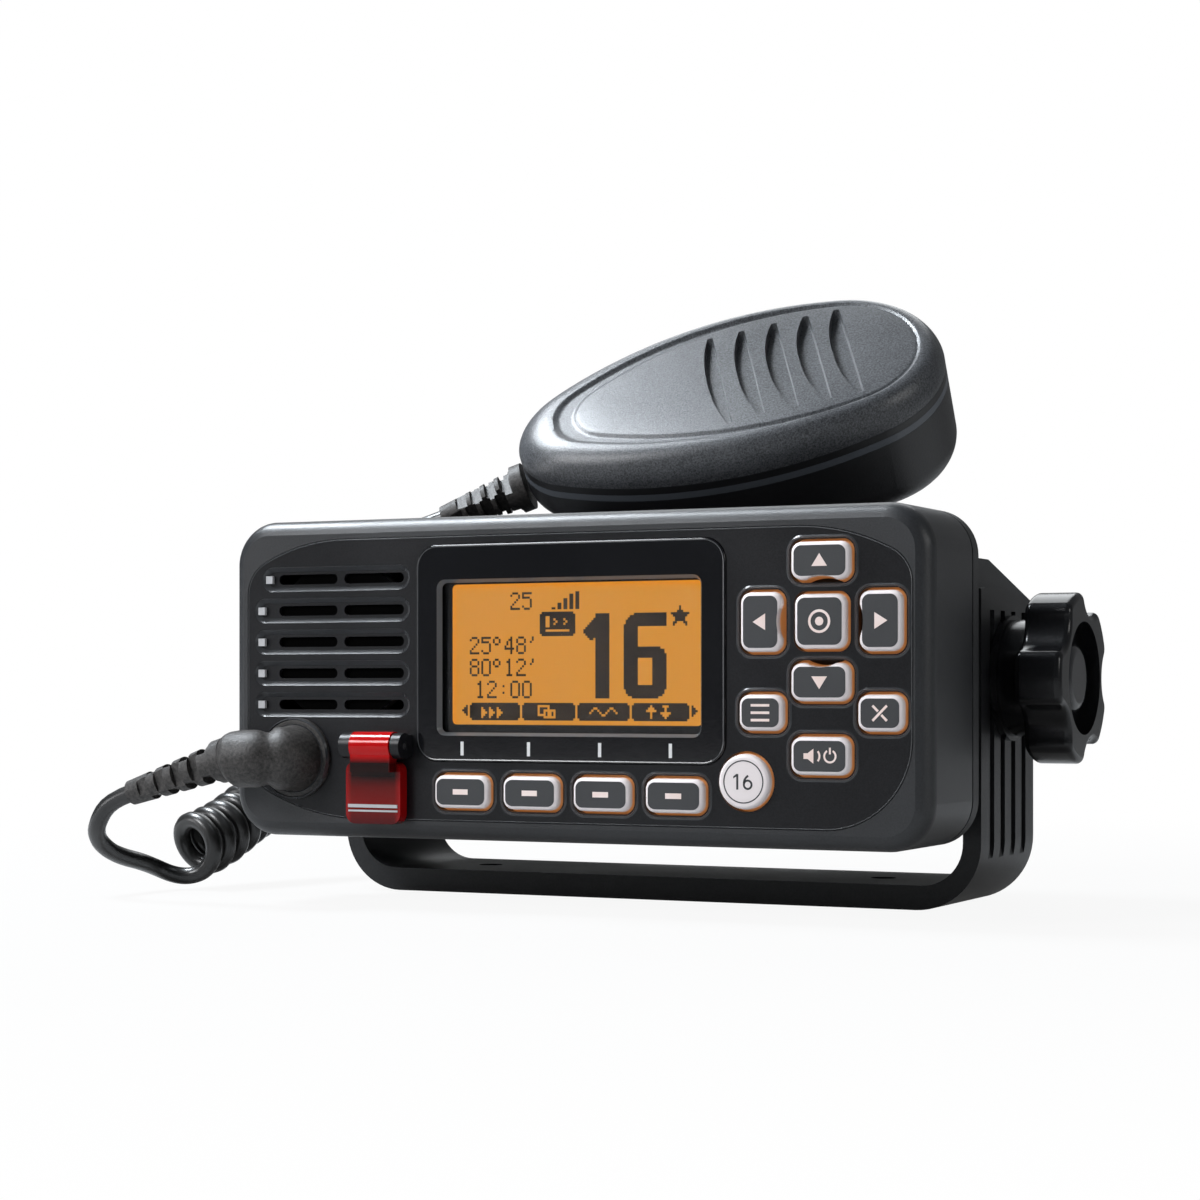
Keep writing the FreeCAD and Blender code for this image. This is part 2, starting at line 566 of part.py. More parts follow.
def panel_outline(sketch, growth):
    """The front panel's outline, grown by a given amount: three long swept corners and a round one."""
    width = f"(Sizes.panel_width + 2 * ({growth}))"
    height = f"(Sizes.panel_height + 2 * ({growth}))"
    low_left, low_right, high_right, high_left = box_corners("Sizes.panel_across", PANEL_UP, width, height)
    upper = ("Sizes.sweep_across", "Sizes.sweep_up", growth)
    lower = ("Sizes.low_sweep_across", "Sizes.low_sweep_up", growth)
    draw_outline(sketch, [
        *swept_corner(low_left, 1, 1, *lower),
        (*low_right, f"Sizes.panel_corner + ({growth})"),
        *swept_corner(high_right, -1, -1, *upper),
        *reversed(swept_corner(high_left, 1, -1, *upper)),
    ])


def screw_places():
    """Expressions for the X and Z of the four case screws."""
    reach = "(Sizes.body_height / 2 - Sizes.boss_inset)"
    corners = [(sx, sz) for sx in (-1, 1) for sz in (-1, 1)]
    return [(f"{sx} * Sizes.boss_across", f"{AXIS_UP} + {sz} * {reach}") for sx, sz in corners]


def front_bezel():
    """The outer front shell: a deep rim, a sloping ring round the panel, four screw bosses."""
    body = new_body("front_bezel")
    sketch = new_sketch(body, "XZ_Plane", BEZEL_BACK)
    outline_box(sketch)
    add_pad(body, sketch, "Sizes.bezel_length")
    sketch = new_sketch(body, "XZ_Plane", "Sizes.bezel_front")
    outline_box(sketch)
    ring = add_pad(body, sketch, "Sizes.ring_rise")
    ring.setExpression("TaperAngle", "-atan(Sizes.ring_slope / Sizes.ring_rise)")
    doc.recompute()
    add_fillet(body, ring, all_at("y", size("bezel_front")), "Sizes.ring_round")
    sketch = new_sketch(body, "XZ_Plane", BEZEL_BACK)
    outline_box(sketch, "Sizes.bezel_wall")
    deep = f"{BEZEL_BACK} - {PANEL_FRONT} - Sizes.bezel_lip"
    cut_pocket(body, sketch, deep, backwards=True)
    sketch = new_sketch(body, "XZ_Plane", BEZEL_BACK)
    for across, up in screw_places():
        draw_circle(sketch, across, up, "Sizes.boss_radius")
    add_pad(body, sketch, f"{BEZEL_BACK} - {PANEL_BACK} - Sizes.seat_gap")
    sketch = new_sketch(body, "XZ_Plane", BEZEL_BACK)
    for across, up in screw_places():
        draw_circle(sketch, across, up, "Sizes.case_screw + Sizes.thread_gap")
    cut_pocket(body, sketch, "Sizes.case_screw_length", backwards=True)
    sketch = new_sketch(body, "XZ_Plane", "0")
    panel_outline(sketch, "Sizes.fit_gap")
    cut_pocket(body, sketch, both_ways=True)
    return body


# The pressed keys in the panel: name, middle, width and height.
KEYS = []
for number in range(4):
    across = f"(Sizes.soft_key_first + {number} * Sizes.soft_key_pitch)"
    KEYS.append((f"soft_key_{number + 1}", across, "Sizes.soft_key_up",
                 "Sizes.soft_key_width", "Sizes.soft_key_height"))
for name, side in (("channel_up_key", 1), ("channel_down_key", -1)):
    up = f"(Sizes.pad_up + {side} * Sizes.channel_reach)"
    KEYS.append((name, "Sizes.pad_across", up, "Sizes.wide_key_width", "Sizes.wide_key_height"))
for name, side in (("left_key", -1), ("right_key", 1)):
    across = f"(Sizes.pad_across + {side} * Sizes.side_key_reach)"
    KEYS.append((name, across, "Sizes.pad_up", "Sizes.side_key_width", "Sizes.side_key_height"))
KEYS.append(("enter_key", "Sizes.pad_across", "Sizes.pad_up", "Sizes.enter_size", "Sizes.enter_size"))
for name, side in (("menu_key", -1), ("clear_key", 1)):
    across = f"(Sizes.pad_across + {side} * Sizes.side_key_reach)"
    KEYS.append((name, across, "Sizes.small_key_up", "Sizes.small_key_width", "Sizes.small_key_height"))
KEYS.append(("volume_key", "Sizes.pad_across", "Sizes.volume_key_up",
             "Sizes.wide_key_width", "Sizes.wide_key_height"))
KEYS.append(("distress_key", "Sizes.distress_across", "Sizes.distress_key_up",
             "Sizes.distress_key_width", "Sizes.distress_key_height"))
ROUND_KEY = ("Sizes.round_key_across", "Sizes.round_key_up", "Sizes.round_key_radius")


def key_outline(sketch, key, growth):
    """The outline of a pressed key, grown by a given amount."""
    name, across, up, width, height = key
    wide, tall = f"{width} + 2 * ({growth})", f"{height} + 2 * ({growth})"
    draw_round_box(sketch, across, up, wide, tall, f"Sizes.key_corner + ({growth})")


def front_panel():
    """The inner face: keys, display, speaker slots, cord gland and the distress hinge's lugs."""
    body = new_body("front_panel")
    sketch = new_sketch(body, "XZ_Plane", PANEL_BACK)
    panel_outline(sketch, "0")
    add_pad(body, sketch, "Sizes.panel_plate")
    sketch = new_sketch(body, "XZ_Plane", PANEL_BACK)
    panel_outline(sketch, "Sizes.panel_rim")
    add_pad(body, sketch, "Sizes.panel_plate - Sizes.bezel_lip - Sizes.seat_gap")
    # Hinge lugs: a round boss and a web down to the panel on each side of the cover's knuckle.
    for left, right in (("Sizes.lug_left_end", "Sizes.knuckle_left + Sizes.hinge_gap"),
                        ("Sizes.knuckle_right - Sizes.hinge_gap", "Sizes.lug_right_end")):
        sketch = new_sketch(body, "YZ_Plane", f"-({left})")
        draw_circle(sketch, HINGE_OUT, "Sizes.hinge_up", "Sizes.lug_radius")
        add_pad(body, sketch, f"({left}) - ({right})")
        sketch = new_sketch(body, "YZ_Plane", f"-({left})")
        web = f"({PANEL_FRONT} + Sizes.panel_plate / 2 - {HINGE_OUT})"
        draw_box(sketch, f"{HINGE_OUT} + {web} / 2", "Sizes.hinge_up", web, "Sizes.lug_web")
        add_pad(body, sketch, f"({left}) - ({right})")
    sketch = new_sketch(body, "YZ_Plane", "0")
    draw_circle(sketch, HINGE_OUT, "Sizes.hinge_up", "Sizes.pin_radius + Sizes.pin_gap")
    cut_pocket(body, sketch, both_ways=True)
    # Openings right through the panel.
    for key in KEYS:
        sketch = new_sketch(body, "XZ_Plane", "0")
        key_outline(sketch, key, "Sizes.key_gap")
        cut_pocket(body, sketch, both_ways=True)
    sketch = new_sketch(body, "XZ_Plane", "0")
    across, up, radius = ROUND_KEY
    draw_circle(sketch, across, up, f"{radius} + Sizes.key_gap")
    display = ("Sizes.display_across", "Sizes.display_up", "Sizes.display_width + 2 * Sizes.fit_gap",
               "Sizes.display_height + 2 * Sizes.fit_gap", "Sizes.display_corner + Sizes.fit_gap")
    draw_round_box(sketch, *display)
    draw_circle(sketch, "Sizes.gland_across", "Sizes.gland_up", "Sizes.gland_shank + Sizes.thread_gap")
    cut_pocket(body, sketch, both_ways=True)
    # Speaker slots: a shallow groove with two half slots in its floor, five times over. The top
    # groove is shorter, because the panel's corner comes in over it.
    lowest = "(Sizes.slot_up - Sizes.slot_pitch * (Sizes.slot_rows - 1) / 2)"
    highest = "(Sizes.slot_up + Sizes.slot_pitch * (Sizes.slot_rows - 1) / 2)"
    shape = ("Sizes.groove_height", "Sizes.groove_height * Sizes.slot_rounding")
    sketch = new_sketch(body, "XZ_Plane", PANEL_FRONT)
    draw_round_box(sketch, "Sizes.slot_across", lowest, "Sizes.groove_width", *shape)
    groove = cut_pocket(body, sketch, "Sizes.groove_depth")
    repeat_along(body, groove, "Z_Axis", "Sizes.slot_rows - 1", "Sizes.slot_pitch")
    sketch = new_sketch(body, "XZ_Plane", PANEL_FRONT)
    across = "Sizes.slot_across + Sizes.top_groove_short / 2"
    width = "Sizes.groove_width - Sizes.top_groove_short"
    draw_round_box(sketch, across, highest, width, *shape)
    cut_pocket(body, sketch, "Sizes.groove_depth")
    sketch = new_sketch(body, "XZ_Plane", "0")
    for side in (-1, 1):
        reach = "(Sizes.slot_width + Sizes.slot_bridge) / 2"
        across = f"(Sizes.slot_across + Sizes.slot_shift) + {side} * {reach}"
        rounding = "Sizes.slot_height * Sizes.slot_rounding"
        draw_round_box(sketch, across, lowest, "Sizes.slot_width", "Sizes.slot_height", rounding)
    slots = cut_pocket(body, sketch, both_ways=True)
    repeat_along(body, slots, "Z_Axis", "Sizes.slot_rows", "Sizes.slot_pitch")
    return body


def body_gasket():
    """The flat seal between the bezel and the chassis."""
    body = new_body("body_gasket")
    sketch = new_sketch(body, "XZ_Plane", GASKET_BACK)
    outline_box(sketch, "Sizes.gasket_inset")
    add_pad(body, sketch, "Sizes.gasket_plate")
    sketch = new_sketch(body, "XZ_Plane", "0")
    low = "(Sizes.chassis_floor + Sizes.chassis_wall)"
    high = "(Sizes.deck_level - Sizes.chassis_wall)"
    width = "Sizes.chassis_width - 2 * Sizes.chassis_wall"
    draw_box(sketch, "0", f"({low} + {high}) / 2", width, f"{high} - {low}")
    for across, up in screw_places():
        draw_circle(sketch, across, up, "Sizes.case_screw + Sizes.fit_gap")
    cut_pocket(body, sketch, both_ways=True)
    return body


def shoulder_profile(inset, rear, front):
    """The chassis from the side: flat shoulders that fall towards the rear, set in all round."""
    drop = "tan(Sizes.shoulder_fall)"
    low = f"(Sizes.chassis_floor + {inset})"
    high = f"(Sizes.shoulder_level - {inset})"
    rear_high = f"({high} - (({rear}) - Sizes.shoulder_turn) * {drop})"
    return [(front, low), (rear, low), (rear, rear_high), ("Sizes.shoulder_turn", high), (front, high)]


def rear_chassis():
    """The cast rear housing: a flange, falling shoulders, a raised deck and cooling fins."""
    body = new_body("rear_chassis")
    sketch = new_sketch(body, "XZ_Plane", FLANGE_BACK)
    outline_box(sketch)
    add_pad(body, sketch, "Sizes.flange_plate")
    sketch = new_sketch(body, "YZ_Plane", "0")
    draw_outline(sketch, shoulder_profile("0", "Sizes.chassis_end", GASKET_BACK))
    add_pad(body, sketch, "Sizes.chassis_width", both_ways=True)
    sketch = new_sketch(body, "YZ_Plane", "0")
    deck_foot = "(Sizes.chassis_floor + 2 * Sizes.chassis_wall)"
    slope_foot = "(Sizes.deck_level - Sizes.shoulder_level + Sizes.chassis_wall)"
    draw_outline(sketch, [
        (GASKET_BACK, deck_foot),
        ("Sizes.deck_end", deck_foot),
        ("Sizes.deck_end", f"Sizes.deck_level - {slope_foot}"),
        (f"Sizes.deck_end - {slope_foot}", "Sizes.deck_level"),
        (GASKET_BACK, "Sizes.deck_level"),
    ])
    add_pad(body, sketch, "Sizes.deck_width", both_ways=True)
    # The two hollows, one under the shoulders and one under the deck.
    inner_end = "(Sizes.chassis_end - Sizes.fin_depth - 2 * Sizes.chassis_wall)"
    mouth = f"({GASKET_BACK} - Sizes.cut_spare)"
    sketch = new_sketch(body, "YZ_Plane", "0")
    draw_outline(sketch, shoulder_profile("Sizes.chassis_wall", inner_end, mouth))
    cut_pocket(body, sketch, "Sizes.chassis_width - 2 * Sizes.chassis_wall", both_ways=True)
    sketch = new_sketch(body, "YZ_Plane", "0")
    deck_end = "(Sizes.deck_end - 4 * Sizes.chassis_wall)"
    level = f"({AXIS_UP} + Sizes.deck_level - Sizes.chassis_wall) / 2"
    height = f"Sizes.deck_level - Sizes.chassis_wall - {AXIS_UP}"
    draw_box(sketch, f"({mouth} + {deck_end}) / 2", level, f"{deck_end} - {mouth}", height)
    cut_pocket(body, sketch, "Sizes.deck_width - 2 * Sizes.chassis_wall", both_ways=True)
    # Cooling fins between the two sockets.
    sketch = new_sketch(body, "XZ_Plane", "(Sizes.chassis_end - Sizes.fin_depth)")
    first = "-(Sizes.fin_pitch * (Sizes.fin_count - 1) / 2)"
    height = "Sizes.body_height + 2 * Sizes.cut_spare"
    draw_box(sketch, f"Sizes.fin_middle + {first}", AXIS_UP, "Sizes.fin_slot", height)
    slot = cut_pocket(body, sketch)
    repeat_along(body, slot, "X_Axis", "Sizes.fin_count", "Sizes.fin_pitch")
    # Holes: case screws, knob inserts and the two sockets at the rear.
    sketch = new_sketch(body, "XZ_Plane", "0")
    for across, up in screw_places():
        draw_circle(sketch, across, up, "Sizes.case_screw + Sizes.thread_gap")
    draw_circle(sketch, "Sizes.antenna_across", "Sizes.antenna_up", "Sizes.antenna_shank + Sizes.thread_gap")
    draw_circle(sketch, "Sizes.power_across", "Sizes.antenna_up", "Sizes.power_shank + Sizes.thread_gap")
    cut_pocket(body, sketch, both_ways=True)
    add_side_bosses(body)
    add_posts(body)
    return body


def add_side_bosses(body):
    """A round boss inside each side wall that carries a brass insert."""
    for side in (-1, 1):
        sketch = new_sketch(body, "YZ_Plane", f"{side} * (Sizes.chassis_width / 2 - Sizes.insert_length)")
        draw_circle(sketch, "0", AXIS_UP, "Sizes.insert_radius + Sizes.chassis_wall")
        pad = add_pad(body, sketch, "Sizes.insert_length - Sizes.chassis_wall / 2")
        pad.Reversed = side < 0
        doc.recompute()
    sketch = new_sketch(body, "YZ_Plane", "0")
    draw_circle(sketch, "0", AXIS_UP, "Sizes.insert_radius")
    cut_pocket(body, sketch, both_ways=True)


# ---------------------------------------------------------------- display
def display_frame():
    """The glossy black border round the window."""
    body = new_body("display_frame")
    sketch = new_sketch(body, "XZ_Plane", FRAME_BACK)
    draw_round_box(sketch, "Sizes.display_across", "Sizes.display_up",
                   "Sizes.display_width", "Sizes.display_height", "Sizes.display_corner")
    pad = add_pad(body, sketch, "Sizes.frame_plate")
    level = value(FRAME_FRONT)
    add_fillet(body, pad, all_at("y", level), "Sizes.display_rise * Sizes.edge_share")
    sketch = new_sketch(body, "XZ_Plane", "0")
    window(sketch, "0")
    cut_pocket(body, sketch, both_ways=True)
    return body


def window(sketch, growth):
    """The window in the display frame, grown by a given amount."""
    width = f"Sizes.window_width + 2 * ({growth})"
    height = f"Sizes.window_height + 2 * ({growth})"
    draw_round_box(sketch, "Sizes.window_across", "Sizes.window_up", width, height, "Sizes.window_corner")


def slab(label, back, plate, draw, *arguments):
    """A flat piece that faces the front, from its back level forward by its thickness."""
    body = new_body(label)
    sketch = new_sketch(body, "XZ_Plane", back)
    draw(sketch, *arguments)
    add_pad(body, sketch, plate)
    return body


# Limits that the inner boards and the keypad rubber share.
BOARD_RIGHT = "(Sizes.boss_across - Sizes.boss_radius - Sizes.board_margin)"
BOARD_LEFT = "(Sizes.display_across - Sizes.display_width / 2 + Sizes.board_margin)"
TAIL_LEFT = "(Sizes.distress_across - Sizes.distress_key_width / 2 - Sizes.rubber_margin)"
TAIL_HIGH = "(Sizes.distress_key_up + Sizes.distress_key_height / 2 + Sizes.rubber_margin)"
BOARD_LOW = "(Sizes.distress_key_up - Sizes.distress_key_height / 2 - Sizes.rubber_margin)"
BOARD_HIGH = "(Sizes.display_up + Sizes.display_height / 2)"
KEY_EDGE = "(Sizes.pad_across + Sizes.side_key_reach + Sizes.side_key_width / 2 + Sizes.rubber_margin)"
KEY_EDGE_LOW = "(Sizes.small_key_up - Sizes.small_key_height / 2 - Sizes.rubber_margin)"
KEY_EDGE_HIGH = "(Sizes.pad_up + Sizes.side_key_height / 2 + Sizes.rubber_margin)"
RIGHT_SIDE = [
    (BOARD_RIGHT, BOARD_LOW),
    (BOARD_RIGHT, KEY_EDGE_LOW),
    (KEY_EDGE, KEY_EDGE_LOW),
    (KEY_EDGE, KEY_EDGE_HIGH),
    (BOARD_RIGHT, KEY_EDGE_HIGH),
    (BOARD_RIGHT, BOARD_HIGH),
]


def control_board_outline(sketch):
    left = [(BOARD_LEFT, BOARD_HIGH), (BOARD_LEFT, TAIL_HIGH), (TAIL_LEFT, TAIL_HIGH), (TAIL_LEFT, BOARD_LOW)]
    draw_outline(sketch, RIGHT_SIDE + left)


def rubber_outline(sketch):
    """Like the board's, but it stops beside the display."""
    beside = "(Sizes.window_across + Sizes.window_width / 2 + Sizes.board_margin)"
    left = [(beside, BOARD_HIGH), (beside, TAIL_HIGH), (TAIL_LEFT, TAIL_HIGH), (TAIL_LEFT, BOARD_LOW)]
    draw_outline(sketch, RIGHT_SIDE + left)


# ---------------------------------------------------------------- keys
KEY_FRONT = f"({PANEL_FRONT} - Sizes.key_rise)"
KEY_FLANGE_FRONT = f"({PANEL_BACK} + Sizes.key_gap)"
KEY_BACK = f"({KEY_FLANGE_FRONT} + Sizes.key_flange_plate)"


def key_body(key, front=KEY_FRONT):
    """A key that stands through the panel, with a flange behind it."""
    body = new_body(key[0])
    sketch = new_sketch(body, "XZ_Plane", KEY_BACK)
    key_outline(sketch, key, "0")
    pad = add_pad(body, sketch, f"{KEY_BACK} - {front}")
    level = value(front)
    add_fillet(body, pad, all_at("y", level), "Sizes.key_round")
    sketch = new_sketch(body, "XZ_Plane", KEY_BACK)
    key_outline(sketch, key, "Sizes.key_flange")
    add_pad(body, sketch, "Sizes.key_flange_plate")
    return body


def hollow_key(key):
    """A key whose edge is hollowed round the enter key."""
    body = key_body(key)
    sketch = new_sketch(body, "XZ_Plane", "0")
    draw_circle(sketch, "Sizes.pad_across", "Sizes.pad_up", "Sizes.pad_ring")
    cut_pocket(body, sketch, both_ways=True)
    return body


def round_key():
    body = new_body("channel_16_key")
    across, up, radius = ROUND_KEY
    sketch = new_sketch(body, "XZ_Plane", KEY_BACK)
    draw_circle(sketch, across, up, radius)
    pad = add_pad(body, sketch, f"{KEY_BACK} - {KEY_FRONT}")
    level = value(KEY_FRONT)
    add_fillet(body, pad, all_at("y", level), "Sizes.key_round")
    sketch = new_sketch(body, "XZ_Plane", KEY_BACK)
    draw_circle(sketch, across, up, f"{radius} + Sizes.key_flange")
    add_pad(body, sketch, "Sizes.key_flange_plate")
    return body


def all_keys():
    around = ("channel_up_key", "channel_down_key", "left_key", "right_key")
    bodies = []
    for key in KEYS:
        if key[0] in around:
            bodies.append(hollow_key(key))
        elif key[0] == "distress_key":
            bodies.append(key_body(key, f"({PANEL_FRONT} - Sizes.distress_key_rise)"))
        else:
            bodies.append(key_body(key))
    return bodies + [round_key()]


# ---------------------------------------------------------------- distress cover
def distress_cover():
    """A sprung flap: a shallow tray that hangs from a round knuckle."""
    body = new_body("distress_cover")
    sketch = new_sketch(body, "YZ_Plane", "-Sizes.knuckle_left")
    draw_circle(sketch, HINGE_OUT, "Sizes.hinge_up", "Sizes.knuckle_radius")
    add_pad(body, sketch, "Sizes.knuckle_left - Sizes.knuckle_right")
    back = f"({PANEL_FRONT} - Sizes.key_gap)"
    inside = f"({PANEL_FRONT} - Sizes.cover_gap)"
    front = f"({inside} - Sizes.cover_plate)"
    middle = "(Sizes.cover_low + Sizes.cover_high) / 2"
    height = "Sizes.cover_high - Sizes.cover_low"
    sketch = new_sketch(body, "XZ_Plane", back)
    draw_round_box(sketch, "Sizes.distress_across", middle, "Sizes.cover_width", height, "Sizes.key_corner")
    add_pad(body, sketch, f"{back} - {front}")
    # The neck between the tray and the knuckle.
    sketch = new_sketch(body, "XZ_Plane", f"({HINGE_OUT} + Sizes.pin_radius)")
    neck_low = "(Sizes.cover_high - Sizes.key_corner)"
    neck_high = "(Sizes.hinge_up - Sizes.pin_radius)"
    width = "(Sizes.knuckle_left - Sizes.knuckle_right)"
    across = "-(Sizes.knuckle_left + Sizes.knuckle_right) / 2"
    draw_box(sketch, across, f"({neck_low} + {neck_high}) / 2", width, f"{neck_high} - {neck_low}")
    add_pad(body, sketch, "Sizes.knuckle_radius")
    sketch = new_sketch(body, "XZ_Plane", back)
    inner_width = "Sizes.cover_width - 2 * Sizes.cover_wall"
    inner_height = f"{height} - 2 * Sizes.cover_wall"
    corner = "Sizes.key_corner - Sizes.cover_wall"
    draw_round_box(sketch, "Sizes.distress_across", middle, inner_width, inner_height, corner)
    cut_pocket(body, sketch, f"{back} - {inside}", backwards=True)
    sketch = new_sketch(body, "YZ_Plane", "0")
    draw_circle(sketch, HINGE_OUT, "Sizes.hinge_up", "Sizes.pin_radius + Sizes.pin_gap")
    cut_pocket(body, sketch, both_ways=True)
    return body


def distress_hinge_pin():
    body = new_body("distress_hinge_pin")
    sketch = new_sketch(body, "YZ_Plane", "-Sizes.lug_left_end")
    draw_circle(sketch, HINGE_OUT, "Sizes.hinge_up", "Sizes.pin_radius")
    add_pad(body, sketch, "Sizes.lug_left_end - Sizes.lug_right_end")
    return body


# ---------------------------------------------------------------- loudspeaker
CLOTH_BACK = f"({PANEL_BACK} + Sizes.seat_gap + Sizes.cloth_plate)"
SPEAKER_FRONT = f"({CLOTH_BACK} + Sizes.seat_gap)"
SPEAKER = ("Sizes.speaker_across", "Sizes.slot_up")


def speaker_cloth():
    body = new_body("speaker_cloth")
    sketch = new_sketch(body, "XZ_Plane", CLOTH_BACK)
    draw_circle(sketch, *SPEAKER, "Sizes.speaker_radius")
    add_pad(body, sketch, "Sizes.cloth_plate")
    return body


def loudspeaker():
    """A rim, a basket, a magnet, and the cone's hollow in front."""
    body = new_body("loudspeaker")
    steps = [("Sizes.speaker_rim", "Sizes.speaker_radius"),
             ("Sizes.basket_depth", "(Sizes.speaker_radius + Sizes.magnet_radius) / 2"),
             ("Sizes.speaker_depth", "Sizes.magnet_radius")]
    for depth, radius in steps:
        sketch = new_sketch(body, "XZ_Plane", f"({SPEAKER_FRONT} + {depth})")
        draw_circle(sketch, *SPEAKER, radius)
        add_pad(body, sketch, depth)
    sketch = new_sketch(body, "XZ_Plane", SPEAKER_FRONT)
    draw_circle(sketch, *SPEAKER, "Sizes.speaker_radius - Sizes.speaker_rim")
    cut_pocket(body, sketch, "Sizes.speaker_rim / 2")
    return body


# ---------------------------------------------------------------- cord gland and boots
GLAND = ("Sizes.gland_across", "Sizes.gland_up")
GLAND_FRONT = f"({PANEL_FRONT} - Sizes.gland_plate)"
NUT_FRONT = f"({PANEL_BACK} + Sizes.seat_gap)"
NUT_BACK = f"({NUT_FRONT} + Sizes.gland_nut_plate)"
BEND_OUT = f"({GLAND_FRONT} - Sizes.boot_reach)"


def cord_gland():
    """A ring on the panel with a shank through it."""
    body = new_body("cord_gland")
    sketch = new_sketch(body, "XZ_Plane", PANEL_FRONT)
    draw_circle(sketch, *GLAND, "Sizes.gland_radius")
    pad = add_pad(body, sketch, "Sizes.gland_plate")
    level = value(GLAND_FRONT)
    add_fillet(body, pad, all_at("y", level), "Sizes.gland_plate * Sizes.edge_share")
    sketch = new_sketch(body, "XZ_Plane", f"({NUT_BACK} + Sizes.seat_gap)")
    draw_circle(sketch, *GLAND, "Sizes.gland_shank")
    add_pad(body, sketch, f"{NUT_BACK} + Sizes.seat_gap - {PANEL_FRONT}")
    return body


def gland_nut():
    body = new_body("gland_nut")
    sketch = new_sketch(body, "XZ_Plane", NUT_BACK)
    draw_circle(sketch, *GLAND, "Sizes.gland_nut")
    draw_circle(sketch, *GLAND, "Sizes.gland_shank + Sizes.thread_gap")
    add_pad(body, sketch, "Sizes.gland_nut_plate")
    return body


def elbow_boot():
    """A rubber elbow: a stub from the gland, a round knee and an arm to the left."""
    body = new_body("elbow_boot")
    sketch = new_sketch(body, "XZ_Plane", GLAND_FRONT)
    draw_circle(sketch, *GLAND, "Sizes.boot_radius")
    pad = add_pad(body, sketch, "Sizes.boot_reach + Sizes.boot_radius")
    level = value(f"{BEND_OUT} - Sizes.boot_radius")
    add_fillet(body, pad, all_at("y", level), "Sizes.boot_radius * Sizes.edge_share")
    sketch = new_sketch(body, "YZ_Plane", "(Sizes.gland_across - Sizes.boot_arm_length)")
    draw_circle(sketch, BEND_OUT, "Sizes.gland_up", "Sizes.boot_arm_radius")
    add_pad(body, sketch, "Sizes.boot_arm_length")
    return body


def relief_body(label, thick, length):
    """A tapered rubber sleeve along its own Z, with a collar and slots on alternate sides."""
    body = new_body(label)
    cone = body.newObject("PartDesign::AdditiveCone", label + "_cone")
    cone.setExpression("Radius1", thick)
    cone.setExpression("Radius2", "Sizes.relief_thin")
    cone.setExpression("Height", length)
    doc.recompute()
    collar_pad = new_sketch(body, "XY_Plane", "0")
    draw_circle(collar_pad, "0", "0", f"{thick} + Sizes.relief_web / 2")
    add_pad(body, collar_pad, "Sizes.relief_collar")
    pitch = f"(({length} - Sizes.relief_collar) / (Sizes.relief_slots + 1))"
    inner = "(Sizes.cord_diameter / 2 + Sizes.relief_web / 2)"
    outer = f"({thick} + Sizes.cut_spare)"
    for shift, plane in ((0.5, "XZ_Plane"), (1.0, "YZ_Plane")):
        sketch = new_sketch(body, plane, "0")
        level = f"Sizes.relief_collar + {pitch} * {shift}"
        for side in (-1, 1):
            draw_box(sketch, f"{side} * ({inner} + {outer}) / 2", level, f"{outer} - {inner}",
                     "Sizes.relief_slot")
        slot = cut_pocket(body, sketch, both_ways=True)
        repeat_along(body, slot, "Z_Axis", "Sizes.relief_slots", pitch)
    return body


def aim(start, direction):
    """A placement that turns a piece's own Z to a direction and moves it to a point."""
    return Placement(start, Rotation(Vector(0, 0, 1), direction))


ARM_END = Vector(value("Sizes.gland_across - Sizes.boot_arm_length"), value(BEND_OUT), size("gland_up"))
DROOP = math.radians(size("relief_droop"))
RELIEF_WAY = Vector(-math.cos(DROOP), 0, -math.sin(DROOP))


def front_relief():
    body = relief_body("front_relief", "Sizes.relief_thick", "Sizes.relief_length")
    lift = math.tan(DROOP) * value("Sizes.relief_thick + Sizes.relief_web / 2")
    body.Placement = aim(ARM_END - Vector(lift, 0, 0), RELIEF_WAY)
    return body


# ---------------------------------------------------------------- inside and at the rear
BOARD_WIDTH = "(Sizes.chassis_width - 4 * Sizes.chassis_wall)"
BOARD_DEPTH = f"(Sizes.chassis_end - Sizes.fin_depth - 4 * Sizes.chassis_wall - {GASKET_BACK})"
BOARD_MIDDLE = f"({GASKET_BACK} + Sizes.chassis_wall + {BOARD_DEPTH} / 2)"


def post_places():
    """Expressions for the X and Y of the four posts under the main board."""
    across = f"({BOARD_WIDTH} / 2 - 2 * Sizes.post_radius)"
    back = f"({BOARD_DEPTH} / 2 - 2 * Sizes.post_radius)"
    corners = [(sx, sy) for sx in (-1, 1) for sy in (-1, 1)]
    return [(f"{sx} * {across}", f"{BOARD_MIDDLE} + {sy} * {back}") for sx, sy in corners]


def main_board():
    """The large board, lying flat on the chassis posts, with a hole over each of them."""
    body = new_body("main_board")
    sketch = new_sketch(body, "XY_Plane", "Sizes.main_board_up")
    draw_box(sketch, "0", BOARD_MIDDLE, BOARD_WIDTH, BOARD_DEPTH)
    for across, back in post_places():
        draw_circle(sketch, across, back, "Sizes.case_screw + Sizes.thread_gap")
    add_pad(body, sketch, "Sizes.board_plate")
    return body


def add_posts(body):
    """Four drilled posts that rise from the chassis floor to the main board."""
    floor = "(Sizes.chassis_floor + Sizes.chassis_wall / 2)"
    top = "(Sizes.main_board_up - Sizes.seat_gap)"
    for across, back in post_places():
        sketch = new_sketch(body, "XY_Plane", floor)
        draw_circle(sketch, across, back, "Sizes.post_radius")
        add_pad(body, sketch, f"{top} - {floor}")
        sketch = new_sketch(body, "XY_Plane", top)
        draw_circle(sketch, across, back, "Sizes.case_screw + Sizes.thread_gap")
        cut_pocket(body, sketch, "Sizes.post_hole_depth")


